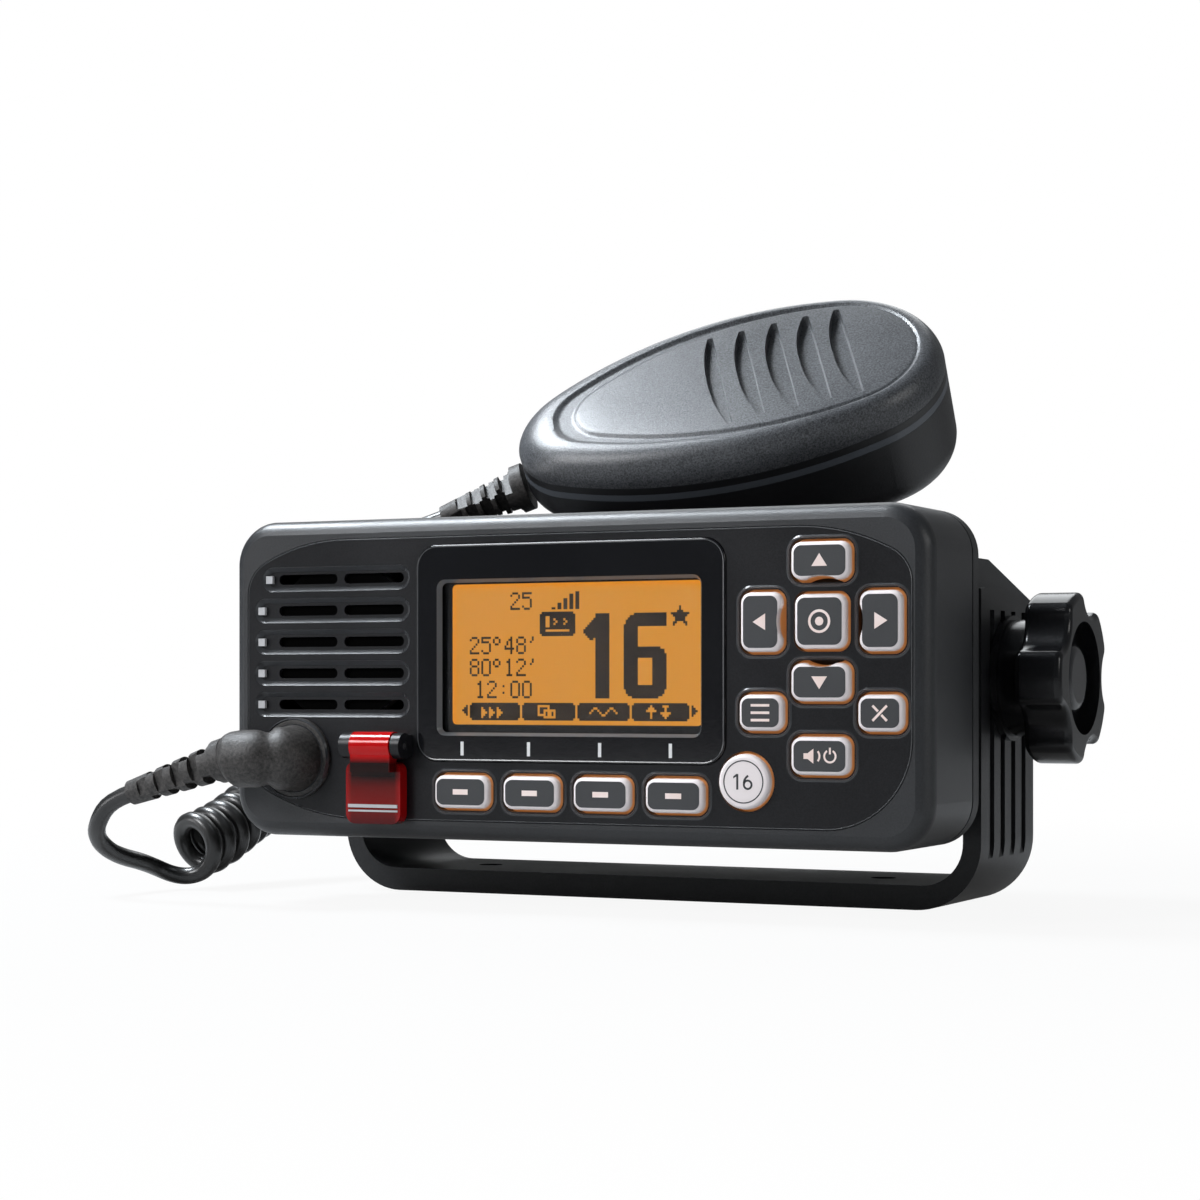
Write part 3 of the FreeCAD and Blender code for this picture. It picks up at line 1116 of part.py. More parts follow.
def rear_screws():
    """Four case screws in one piece: each a shank and a flat round head behind the flange."""
    body = new_body("rear_screws")
    body.AllowCompound = True
    seat = f"({FLANGE_BACK} + Sizes.seat_gap)"
    length = "Sizes.flange_plate + Sizes.gasket_plate + Sizes.case_screw_length - Sizes.tip_gap"
    for across, up in screw_places():
        sketch = new_sketch(body, "XZ_Plane", seat)
        draw_circle(sketch, across, up, "Sizes.case_screw")
        add_pad(body, sketch, length)
        sketch = new_sketch(body, "XZ_Plane", f"({seat} + Sizes.case_head_plate)")
        draw_circle(sketch, across, up, "Sizes.case_head")
        add_pad(body, sketch, "Sizes.case_head_plate")
    return body


REAR_SEAT = "(Sizes.chassis_end + Sizes.seat_gap)"


def antenna_socket():
    """A square flange, a round barrel with a bore, a centre contact and a shank."""
    body = new_body("antenna_socket")
    place = ("Sizes.antenna_across", "Sizes.antenna_up")
    sketch = new_sketch(body, "XZ_Plane", f"({REAR_SEAT} + Sizes.antenna_plate)")
    draw_round_box(sketch, *place, "2 * Sizes.antenna_flange", "2 * Sizes.antenna_flange", "Sizes.key_corner")
    add_pad(body, sketch, "Sizes.antenna_plate")
    sketch = new_sketch(body, "XZ_Plane", f"({REAR_SEAT} + Sizes.antenna_length)")
    draw_circle(sketch, *place, "Sizes.antenna_radius")
    add_pad(body, sketch, "Sizes.antenna_length")
    sketch = new_sketch(body, "XZ_Plane", REAR_SEAT)
    draw_circle(sketch, *place, "Sizes.antenna_shank")
    add_pad(body, sketch, "Sizes.fin_depth")
    sketch = new_sketch(body, "XZ_Plane", f"({REAR_SEAT} + Sizes.antenna_length)")
    draw_circle(sketch, *place, "Sizes.antenna_bore")
    draw_circle(sketch, *place, "Sizes.antenna_contact")
    cut_pocket(body, sketch, "Sizes.antenna_length - Sizes.antenna_plate", backwards=True)
    return body


def power_gland():
    """A rubber grommet for the supply lead, which is not part of this piece."""
    body = new_body("power_gland")
    place = ("Sizes.power_across", "Sizes.antenna_up")
    sketch = new_sketch(body, "XZ_Plane", f"({REAR_SEAT} + Sizes.power_length)")
    draw_circle(sketch, *place, "Sizes.power_radius")
    add_pad(body, sketch, "Sizes.power_length")
    sketch = new_sketch(body, "XZ_Plane", REAR_SEAT)
    draw_circle(sketch, *place, "Sizes.power_shank")
    add_pad(body, sketch, "Sizes.fin_depth")
    sketch = new_sketch(body, "XZ_Plane", "Sizes.chassis_end")
    draw_circle(sketch, *place, "Sizes.power_bore")
    cut_pocket(body, sketch, both_ways=True)
    return body


# ---------------------------------------------------------------- knobs
def side_ring(label, faces, radius, bore):
    """Two rings on the knobs' axis, one on each side; faces are the X of the outer and inner face."""
    body = new_body(label)
    body.AllowCompound = True
    outer, inner = faces
    for side in (-1, 1):
        sketch = new_sketch(body, "YZ_Plane", f"{side} * ({outer})")
        draw_circle(sketch, "0", AXIS_UP, radius)
        draw_circle(sketch, "0", AXIS_UP, bore)
        ring = add_pad(body, sketch, f"({outer}) - ({inner})")
        ring.Reversed = side > 0
        doc.recompute()
    return body


ARM_INSIDE = "(Sizes.arm_face - Sizes.arm_plate)"
SCREW_BORE = "(Sizes.screw_diameter / 2 + Sizes.thread_gap)"


def knob_inserts():
    inner = "Sizes.chassis_width / 2 - Sizes.insert_length"
    faces = ("Sizes.chassis_width / 2", inner)
    return side_ring("knob_inserts", faces, "Sizes.insert_radius - Sizes.seat_gap", SCREW_BORE)


def arm_washers():
    faces = (f"{ARM_INSIDE} - Sizes.washer_gap", "Sizes.chassis_width / 2 + Sizes.seat_gap")
    return side_ring("arm_washers", faces, "Sizes.washer_radius", "Sizes.arm_hole / 2")


WASHER_TOP = "(Sizes.washer_gap + Sizes.collar_plate)"
NECK_FOOT = f"({WASHER_TOP} + Sizes.washer_gap)"
LOBE_FOOT = f"({NECK_FOOT} + Sizes.neck_length)"
LOBE_TOP = f"({LOBE_FOOT} + Sizes.lobe_length)"


def knob_washer(label):
    """The loose washer between an arm and its knob, along its own Z."""
    body = new_body(label)
    sketch = new_sketch(body, "XY_Plane", "Sizes.washer_gap")
    draw_circle(sketch, "0", "0", "Sizes.collar_radius")
    draw_circle(sketch, "0", "0", "Sizes.arm_hole / 2")
    add_pad(body, sketch, "Sizes.collar_plate")
    return body


def runs_along_z(spots):
    start, end = spots[:2]
    return near(start.x, end.x) and near(start.y, end.y) and not near(start.z, end.z)


def lobed_knob(label):
    """A round neck and a lobed grip with a recess in its face, along its own Z."""
    body = new_body(label)
    sketch = new_sketch(body, "XY_Plane", LOBE_FOOT)
    draw_circle(sketch, "0", "0", "Sizes.knob_radius")
    add_pad(body, sketch, "Sizes.lobe_length")
    sketch = new_sketch(body, "XY_Plane", LOBE_FOOT)
    reach = "(Sizes.knob_waist + Sizes.hollow_radius)"
    half_step = "(180 / Sizes.knob_lobes)"
    draw_circle(sketch, f"{reach} * cos({half_step})", f"{reach} * sin({half_step})", "Sizes.hollow_radius")
    hollow = cut_pocket(body, sketch, "Sizes.lobe_length", backwards=True)
    turns = body.newObject("PartDesign::PolarPattern", label + "_lobes")
    turns.Originals = [hollow]
    turns.Axis = (origin_part(body, "Z_Axis"), [""])
    turns.Angle = 360
    turns.setExpression("Occurrences", "Sizes.knob_lobes")
    body.Tip = turns
    doc.recompute()
    at_foot = all_at("z", value(LOBE_FOOT))
    at_top = all_at("z", value(LOBE_TOP))
    rounded = add_fillet(body, turns, runs_along_z, "Sizes.lobe_round")
    add_fillet(body, rounded, lambda spots: at_foot(spots) or at_top(spots), "Sizes.knob_round")
    sketch = new_sketch(body, "XY_Plane", NECK_FOOT)
    draw_circle(sketch, "0", "0", "Sizes.knob_neck")
    add_pad(body, sketch, "Sizes.neck_length")
    sketch = new_sketch(body, "XY_Plane", LOBE_TOP)
    draw_circle(sketch, "0", "0", "Sizes.recess_radius")
    cut_pocket(body, sketch, "Sizes.recess_depth")
    sketch = new_sketch(body, "XY_Plane", NECK_FOOT)
    draw_circle(sketch, "0", "0", SCREW_BORE)
    cut_pocket(body, sketch, "Sizes.screw_grip + Sizes.thread_gap", backwards=True)
    return body


def knob_screw(label):
    """The steel screw that is moulded into a knob and runs into the brass insert."""
    body = new_body(label)
    foot = f"(Sizes.chassis_width / 2 - Sizes.screw_reach - Sizes.arm_face)"
    sketch = new_sketch(body, "XY_Plane", foot)
    draw_circle(sketch, "0", "0", "Sizes.screw_diameter / 2")
    add_pad(body, sketch, f"{NECK_FOOT} + Sizes.screw_grip - {foot}")
    return body


def knob_cap(label):
    """The low dome in the middle of a knob's recess."""
    body = new_body(label)
    sketch = new_sketch(body, "XY_Plane", f"({LOBE_TOP} - Sizes.recess_depth + Sizes.seat_gap)")
    draw_circle(sketch, "0", "0", "Sizes.cap_radius")
    pad = add_pad(body, sketch, "Sizes.cap_rise")
    level = value(f"{LOBE_TOP} - Sizes.recess_depth + Sizes.seat_gap + Sizes.cap_rise")
    add_fillet(body, pad, all_at("z", level), "Sizes.cap_rise * Sizes.edge_share")
    return body


def knob_sides():
    """Both knobs' pieces, turned so that each piece's own Z points away from the radio."""
    pieces = []
    for name, side in (("left", -1), ("right", 1)):
        place = Vector(side * size("arm_face"), 0, value(AXIS_UP))
        turn = Rotation(Vector(0, -1, 0), Vector(0, 0, -side), Vector(side, 0, 0), "ZXY")
        for make, kind in ((knob_washer, "washer"), (lobed_knob, "knob"),
                           (knob_screw, "knob_screw"), (knob_cap, "knob_cap")):
            piece = make(f"{name}_{kind}")
            piece.Placement = Placement(place, turn)
            pieces.append(piece)
    return pieces


# ---------------------------------------------------------------- microphone
# Its own frame: X along it towards the wide end, Z out of its face, the seam at Z = 0.
EGG_HEAD_REACH = "(Sizes.egg_side_radius - Sizes.egg_head_radius)"
EGG_TAIL_REACH = "(Sizes.egg_side_radius - Sizes.egg_tail_radius)"
EGG_SPAN = "(Sizes.egg_head - Sizes.egg_tail)"
SIDE_ACROSS = (f"(({EGG_TAIL_REACH} ^ 2 - {EGG_HEAD_REACH} ^ 2 + Sizes.egg_head ^ 2"
               f" - Sizes.egg_tail ^ 2) / (2 * {EGG_SPAN}))")
SIDE_DOWN = f"sqrt({EGG_HEAD_REACH} ^ 2 - ({SIDE_ACROSS} - Sizes.egg_head) ^ 2)"
TAIL_END = "(Sizes.egg_tail - Sizes.egg_tail_radius)"
HEAD_END = "(Sizes.egg_head + Sizes.egg_head_radius)"
ELEMENT_ACROSS = "(Sizes.mic_slot_first + Sizes.mic_slot_pitch * (Sizes.mic_slots - 1))"


def half_width(across):
    """Half the microphone's width at a place along its long side."""
    return f"(sqrt(Sizes.egg_side_radius ^ 2 - (({across}) - {SIDE_ACROSS}) ^ 2) - {SIDE_DOWN})"


def draw_egg(sketch, inset):
    """The egg outline, set in all round: two end arcs and two long side arcs, all tangent."""
    head, tail = Vector(size("egg_head"), 0, 0), Vector(size("egg_tail"), 0, 0)
    side_across, side_down = value(SIDE_ACROSS), value(SIDE_DOWN)
    radii = [value(f"Sizes.egg_{part}_radius - ({inset})") for part in ("head", "side", "tail", "side")]
    below, above = Vector(side_across, -side_down, 0), Vector(side_across, side_down, 0)
    centres = [head, below, tail, above]
    lean = math.atan2(side_down, size("egg_head") - side_across)
    lean_back = math.atan2(side_down, size("egg_tail") - side_across)
    spans = [(-lean, lean), (lean, lean_back), (lean_back, 2 * math.pi - lean_back), (-lean_back, -lean)]
    arcs = []
    for centre, radius, span in zip(centres, radii, spans):
        circle = Part.Circle(centre, Vector(0, 0, 1), radius)
        arcs.append(sketch.addGeometry(Part.ArcOfCircle(circle, *span), False))
    joins = [Sketcher.Constraint("Tangent", arc, 2, following, 1)
             for arc, following in zip(arcs, arcs[1:] + arcs[:1])]
    sizes = [("Radius", (arc,), f"Sizes.egg_{part}_radius - ({inset})")
             for arc, part in zip(arcs, ("head", "side", "tail", "side"))]
    for arc, part in ((arcs[0], "head"), (arcs[2], "tail")):
        sizes.append(("DistanceX", (-1, 1, arc, 3), f"Sizes.egg_{part}"))
        sizes.append(("DistanceY", (-1, 1, arc, 3), "0"))
    tie(sketch, sizes, joins)


def mic_front_shell():
    """The domed face with five sunk slots, hollow behind."""
    body = new_body("mic_front_shell")
    sketch = new_sketch(body, "XY_Plane", "0")
    draw_egg(sketch, "0")
    pad = add_pad(body, sketch, "Sizes.mic_crown")
    level = size("mic_crown")
    add_fillet(body, pad, all_at("z", level), "Sizes.mic_crown_inset")
    sketch = new_sketch(body, "XY_Plane", "0")
    draw_egg(sketch, "Sizes.mic_side_wall")
    cut_pocket(body, sketch, "Sizes.mic_crown - Sizes.mic_wall - Sizes.mic_slot_depth", backwards=True)
    sketch = new_sketch(body, "XY_Plane", "Sizes.mic_crown")
    draw_round_box(sketch, "Sizes.mic_slot_first", "Sizes.mic_slot_side", "Sizes.mic_slot_width",
                   "Sizes.mic_slot_length", "Sizes.mic_slot_width * Sizes.slot_rounding")
    slot = cut_pocket(body, sketch, "Sizes.mic_slot_depth")
    repeat_along(body, slot, "X_Axis", "Sizes.mic_slots", "Sizes.mic_slot_pitch")
    sketch = new_sketch(body, "XY_Plane", "0")
    draw_circle(sketch, ELEMENT_ACROSS, "0", "Sizes.mic_hole")
    cut_pocket(body, sketch, both_ways=True)
    return body


BACK_SLOPE = f"((Sizes.mic_head_depth - Sizes.mic_tail_depth) / ({HEAD_END} - {TAIL_END}))"
STRIP_TOP = "(-Sizes.mic_wall - Sizes.seat_gap)"


def below_back(wall):
    """Corners of the region under the sloping back, raised by a wall; the drawing plane is X and Z."""
    left = f"({TAIL_END} - Sizes.cut_spare)"
    right = f"({HEAD_END} + Sizes.cut_spare)"
    deep = "-(Sizes.mic_head_depth + 2 * Sizes.cut_spare)"
    left_level = f"({wall} - Sizes.mic_tail_depth + Sizes.cut_spare * {BACK_SLOPE})"
    right_level = f"({wall} - Sizes.mic_head_depth - Sizes.cut_spare * {BACK_SLOPE})"
    return [(left, left_level), (left, deep), (right, deep), (right, right_level)]


def mic_rear_shell():
    """The deep rear half: its back slopes down towards the wide end and is rounded off."""
    body = new_body("mic_rear_shell")
    blank_foot = "-(Sizes.mic_head_depth + Sizes.cut_spare)"
    sketch = new_sketch(body, "XY_Plane", blank_foot)
    draw_egg(sketch, "0")
    add_pad(body, sketch, "Sizes.mic_head_depth + Sizes.cut_spare - Sizes.seat_gap")
    sketch = new_sketch(body, "XZ_Plane", "0")
    draw_outline(sketch, below_back("0"))
    cut = cut_pocket(body, sketch, both_ways=True)
    lowest = -size("mic_tail_depth") / 2
    at_back = lambda spots: all(spot.z < lowest for spot in spots)
    add_fillet(body, cut, at_back, "Sizes.mic_back_round")
    # The hollow: the same egg set in by the wall, down to a wall above the sloping back.
    hollow = new_body("mic_hollow")
    sketch = new_sketch(hollow, "XY_Plane", blank_foot)
    draw_egg(sketch, "Sizes.mic_side_wall")
    add_pad(hollow, sketch, "Sizes.mic_head_depth + 2 * Sizes.cut_spare")
    sketch = new_sketch(hollow, "XZ_Plane", "0")
    draw_outline(sketch, below_back("Sizes.mic_side_wall"))
    cut = cut_pocket(hollow, sketch, both_ways=True)
    add_fillet(hollow, cut, at_back, "Sizes.mic_back_round - Sizes.mic_wall")
    scoop = body.newObject("PartDesign::Boolean", "mic_scoop")
    scoop.Type = "Cut"
    scoop.addObject(hollow)
    doc.recompute()
    # Openings in the far side for the talk key and the small keys, and the side strip's groove.
    sketch = new_sketch(body, "XZ_Plane", "Sizes.egg_head_radius / 2")
    draw_round_box(sketch, "Sizes.talk_across", "Sizes.talk_level", "Sizes.talk_length + 2 * Sizes.key_gap",
                   "Sizes.talk_height + 2 * Sizes.key_gap", "Sizes.key_corner + Sizes.key_gap")
    for across in small_key_places():
        draw_circle(sketch, across, "Sizes.talk_level", "Sizes.mic_key_radius + Sizes.key_gap")
    cut_pocket(body, sketch)
    sketch = new_sketch(body, "XY_Plane", STRIP_TOP)
    draw_egg(sketch, "-Sizes.cut_spare")
    draw_egg(sketch, "Sizes.mic_strip_depth")
    cut_pocket(body, sketch, "Sizes.mic_strip")
    return body


def small_key_places():
    """Expressions for the places of the three small keys along the microphone."""
    return [f"(Sizes.mic_key_first + {number} * Sizes.mic_key_pitch)" for number in range(3)]


def mic_side_strip():
    body = new_body("mic_side_strip")
    sketch = new_sketch(body, "XY_Plane", f"({STRIP_TOP} - Sizes.mic_strip + Sizes.seat_gap)")
    draw_egg(sketch, "0")
    draw_egg(sketch, "Sizes.mic_strip_depth - Sizes.seat_gap")
    add_pad(body, sketch, "Sizes.mic_strip - 2 * Sizes.seat_gap")
    return body


def talk_switch():
    """The long talk key in the far side."""
    body = new_body("talk_switch")
    outer = f"({half_width('Sizes.talk_across')} + Sizes.talk_rise)"
    sketch = new_sketch(body, "XZ_Plane", f"({outer} - Sizes.talk_depth)")
    draw_round_box(sketch, "Sizes.talk_across", "Sizes.talk_level", "Sizes.talk_length",
                   "Sizes.talk_height", "Sizes.key_corner")
    pad = add_pad(body, sketch, "Sizes.talk_depth")
    pad.Reversed = True
    doc.recompute()
    add_fillet(body, pad, all_at("y", value(outer)), "Sizes.key_round")
    return body


def mic_small_key(label, across):
    body = new_body(label)
    outer = f"({half_width(across)} + Sizes.mic_key_rise)"
    sketch = new_sketch(body, "XZ_Plane", f"({outer} - Sizes.mic_key_depth)")
    draw_circle(sketch, across, "Sizes.talk_level", "Sizes.mic_key_radius")
    pad = add_pad(body, sketch, "Sizes.mic_key_depth")
    pad.Reversed = True
    doc.recompute()
    add_fillet(body, pad, all_at("y", value(outer)), "Sizes.mic_key_rise * Sizes.edge_share")
    return body


def mic_board():
    body = new_body("mic_board")
    sketch = new_sketch(body, "XY_Plane", "-(Sizes.board_plate + Sizes.seat_gap)")
    draw_egg(sketch, "Sizes.mic_side_wall + Sizes.fit_gap")
    add_pad(body, sketch, "Sizes.board_plate")
    return body


def mic_element():
    """The small round microphone element, on the board behind the hole in the last slot."""
    body = new_body("mic_element")
    sketch = new_sketch(body, "XY_Plane", "0")
    draw_circle(sketch, ELEMENT_ACROSS, "0", "Sizes.element_radius")
    add_pad(body, sketch, "Sizes.mic_crown - Sizes.mic_wall - Sizes.mic_slot_depth - Sizes.seat_gap")
    return body


def mic_hanger_stud():
    """The button on the back that drops into a bulkhead clip, along its own Z."""
    body = new_body("mic_hanger_stud")
    sketch = new_sketch(body, "XY_Plane", "Sizes.seat_gap")
    draw_circle(sketch, "0", "0", "Sizes.stud_neck")
    add_pad(body, sketch, "Sizes.stud_height - Sizes.seat_gap")
    sketch = new_sketch(body, "XY_Plane", "Sizes.stud_height - Sizes.mic_wall")
    draw_circle(sketch, "0", "0", "Sizes.stud_radius")
    add_pad(body, sketch, "Sizes.mic_wall")
    return body


def microphone():
    """Every piece of the microphone, laid on the deck: turned, raised, rolled, then let down."""
    turned = Rotation(Vector(0, 0, 1), size("mic_turn"))
    raised = Rotation(Vector(0, 1, 0), -size("mic_rise"))
    rolled = Rotation(Vector(1, 0, 0), size("mic_roll"))
    frame = turned * raised * rolled
    shell = mic_rear_shell()
    trial = shell.Shape.copy()
    trial.Placement = Placement(Vector(size("mic_across"), size("mic_back"), 0), frame)
    low = trial.optimalBoundingBox(False, False).ZMin
    origin = Vector(size("mic_across"), size("mic_back"), size("deck_level") + size("mic_rest") - low)
    place = Placement(origin, frame)
    pieces = [shell, mic_front_shell(), mic_side_strip(), talk_switch(), mic_board(), mic_element()]
    for name, across in zip(("mic_up_key", "mic_down_key", "mic_power_key"), small_key_places()):
        pieces.append(mic_small_key(name, across))
    for piece in pieces:
        piece.Placement = place
    slope = math.atan(value(BACK_SLOPE))
    depth = value(f"Sizes.mic_tail_depth + (Sizes.stud_across - {TAIL_END}) * {BACK_SLOPE}")
    stud = mic_hanger_stud()
    out_of_back = Vector(-math.sin(slope), 0, -math.cos(slope))
    stud.Placement = place * aim(Vector(size("stud_across"), 0, -depth), out_of_back)
    droop = math.radians(size("mic_relief_droop"))
    relief = relief_body("mic_relief", "Sizes.mic_relief_thick", "Sizes.mic_relief_length")
    start = Vector(value(f"{TAIL_END} - Sizes.fit_gap"), 0, size("mic_relief_level"))
    relief.Placement = place * aim(start, Vector(-math.cos(droop), 0, -math.sin(droop)))
    return pieces + [stud, relief]


# ---------------------------------------------------------------- cords
# The share of a run between two points that an arc at its end may take.
ARC_SHARE = 0.45


def tube(label, points, radius):
    """A round cord: straight runs through the points, joined by arcs as large as the runs allow."""
    edges, radii = [], []
    start = points[0]
    for before, corner, after in zip(points, points[1:], points[2:]):
        back, onward = before - corner, after - corner
        half = (math.pi - back.getAngle(onward)) / 2
        reach = ARC_SHARE * min(back.Length, onward.Length)
        radii.append(reach / math.tan(half))
        back.normalize()
        onward.normalize()
        first, last = corner + back * reach, corner + onward * reach
        inward = (back + onward).normalize()
        middle = corner + inward * (radii[-1] / math.cos(half) - radii[-1])
        edges.append(Part.LineSegment(start, first).toShape())
        edges.append(Part.Arc(first, middle, last).toShape())
        start = last
    edges.append(Part.LineSegment(start, points[-1]).toShape())
    path = Part.Wire(edges)
    ring = Part.Circle(points[0], points[1] - points[0], radius)
    profile = Part.Wire([ring.toShape()])
    solid = path.makePipeShell([profile], True, False)
    expected = math.pi * radius ** 2 * path.Length
    print(f"{label}: length {path.Length:.1f}, smallest radius {min(radii):.1f},"
          f" volume {solid.Volume / expected:.4f} of section times length")
    piece = doc.addObject("Part::Feature", label)
    piece.Label = label
    piece.Shape = solid
    piece.Placement = Placement()
    return piece


def tip_of(relief, length):
    """The middle of a strain relief's thin end and the way it points."""
    end = relief.Placement.multVec(Vector(0, 0, value(length)))
    way = relief.Placement.Rotation.multVec(Vector(0, 0, 1))
    return end, way


# Hand-picked points of the three stretches; the ends that meet something are worked out.
COIL_ROUTE = [
    Vector(-124.6, -42.5, 10.4),
    Vector(-124.0, -31.0, 14.0),
    Vector(-124.2, -19.5, 18.6),
    Vector(-124.8, -7.5, 22.4),
    Vector(-123.0, 8.0, 28.0),
    Vector(-118.6, 24.5, 37.0),
    Vector(-112.0, 40.0, 49.0),
    Vector(-104.5, 52.0, 62.5),
]
LEAD_ROUTE = [
    Vector(-129.8, -77.6, 19.4),
    Vector(-133.2, -73.4, 15.2),
    Vector(-133.6, -68.0, 11.4),
    Vector(-131.4, -63.8, 8.4),
    Vector(-127.0, -60.8, 5.9),
    Vector(-122.0, -58.2, 4.2),
    Vector(-118.8, -53.8, 3.9),
]
MIC_LEAD_ROUTE = [
    Vector(-96.5, 57.0, 75.0),
    Vector(-92.0, 53.5, 82.0),
    Vector(-87.6, 45.5, 86.4),
    Vector(-84.2, 35.0, 88.6),
    Vector(-81.4, 24.0, 89.6),
    Vector(-79.6, 12.5, 89.4),
    Vector(-79.2, 1.0, 88.7),
    Vector(-80.4, -9.5, 88.9),
    Vector(-81.2, -18.5, 90.4),
    Vector(-77.6, -25.8, 93.2),
]


def cords(front, mic):
    """The lead from the front boot, the curly stretch, and the lead up to the microphone."""
    radius = size("cord_diameter") / 2
    coil_radius = size("coil_diameter") / 2
    rim = coil_radius - radius
    gap = size("seat_gap")
    stub = size("cord_stub")
    coil = tube("coil_cord", COIL_ROUTE, coil_radius)
    way_in = (COIL_ROUTE[1] - COIL_ROUTE[0]).normalize()
    way_out = (COIL_ROUTE[-1] - COIL_ROUTE[-2]).normalize()
    side = way_in.cross(Vector(0, 0, 1)).normalize()
    below = side.cross(way_in)
    foot = COIL_ROUTE[0] + (side * 2 - below).normalize() * rim - way_in * gap
    tip, way = tip_of(front, "Sizes.relief_length")
    start = [tip + way * gap, tip + way * stub]
    lead = tube("cord_lead", start + LEAD_ROUTE + [foot - way_in * stub, foot], radius)
    side = way_out.cross(Vector(0, 1, 0)).normalize()
    head = COIL_ROUTE[-1] - side * rim + way_out * gap
    tip, way = tip_of(mic, "Sizes.mic_relief_length")
    end = [tip + way * stub, tip + way * gap]
    mic_lead = tube("mic_lead", [head, head + way_out * stub] + MIC_LEAD_ROUTE + end, radius)
    return [lead, coil, mic_lead]


PIECES = [
    mounting_bracket(),
    front_bezel(),
    front_panel(),
    body_gasket(),
    rear_chassis(),
    display_frame(),
    slab("display_lens", LENS_BACK, "Sizes.lens_plate", window, "Sizes.lens_lap"),
    slab("lcd_module", MODULE_BACK, "Sizes.module_plate", window, "0"),
    slab("control_board", BOARD_BACK, "Sizes.board_plate", control_board_outline),
    slab("keypad_rubber", RUBBER_BACK, "Sizes.rubber_plate", rubber_outline),
    *all_keys(),
    distress_cover(),
    distress_hinge_pin(),
    speaker_cloth(),
    loudspeaker(),
    cord_gland(),
    gland_nut(),
    elbow_boot(),
    front_relief(),
    main_board(),
    rear_screws(),
    antenna_socket(),
    power_gland(),
    knob_inserts(),
    arm_washers(),
    *knob_sides(),
    *microphone(),
]
named = {piece.Label: piece for piece in PIECES}
PIECES += cords(named["front_relief"], named["mic_relief"])

doc.recompute()
for item in doc.Objects:
    if "Invalid" in item.State or "Error" in item.State:
        raise RuntimeError(f"{item.Label} did not build: {item.State}")
for piece in PIECES:
    if piece.Shape.isNull() or not piece.Shape.isValid():
        raise RuntimeError(f"{piece.Label} has no valid shape")
os.makedirs("parts", exist_ok=True)
for piece in PIECES:
    piece.Shape.exportStep(f"parts/{piece.Label}.step")
print(f"{len(PIECES)} pieces written")
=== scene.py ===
import math

import bmesh
import bpy
from mathutils import Matrix, Vector


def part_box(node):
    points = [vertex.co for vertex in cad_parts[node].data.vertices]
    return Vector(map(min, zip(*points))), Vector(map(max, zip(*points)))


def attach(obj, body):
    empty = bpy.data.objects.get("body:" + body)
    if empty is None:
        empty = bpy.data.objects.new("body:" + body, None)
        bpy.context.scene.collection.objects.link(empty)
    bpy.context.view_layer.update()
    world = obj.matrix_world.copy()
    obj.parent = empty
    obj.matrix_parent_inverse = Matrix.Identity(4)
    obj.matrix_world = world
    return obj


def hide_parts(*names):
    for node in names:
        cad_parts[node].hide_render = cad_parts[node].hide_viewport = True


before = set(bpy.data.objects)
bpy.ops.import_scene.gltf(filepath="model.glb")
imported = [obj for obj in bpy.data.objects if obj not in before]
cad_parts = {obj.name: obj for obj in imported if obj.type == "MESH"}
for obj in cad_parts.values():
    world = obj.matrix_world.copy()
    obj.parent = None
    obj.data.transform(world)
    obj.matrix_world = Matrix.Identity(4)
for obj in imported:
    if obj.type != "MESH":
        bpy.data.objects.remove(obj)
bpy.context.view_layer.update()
MM = 0.001

# ---------------------------------------------------------------- camera and room
# The camera stands to the right of the radio, level with the lower part of the display. The
# floor and the backdrop are pale boards that look white, under a dim sky and five soft lamps.
camera_data = bpy.data.cameras.new("camera")
camera_data.sensor_width = 36
camera_data.lens = 78.24
camera_data.shift_y = 0.075
camera_data.clip_end = 20
camera = bpy.data.objects.new("camera", camera_data)
camera.location = (0.2835, -0.6238, 0.0535)
camera.rotation_euler = (math.radians(90), 0, math.radians(26.2))
bpy.context.scene.collection.objects.link(camera)
bpy.context.scene.camera = camera
bpy.context.scene.view_settings.view_transform = "Standard"


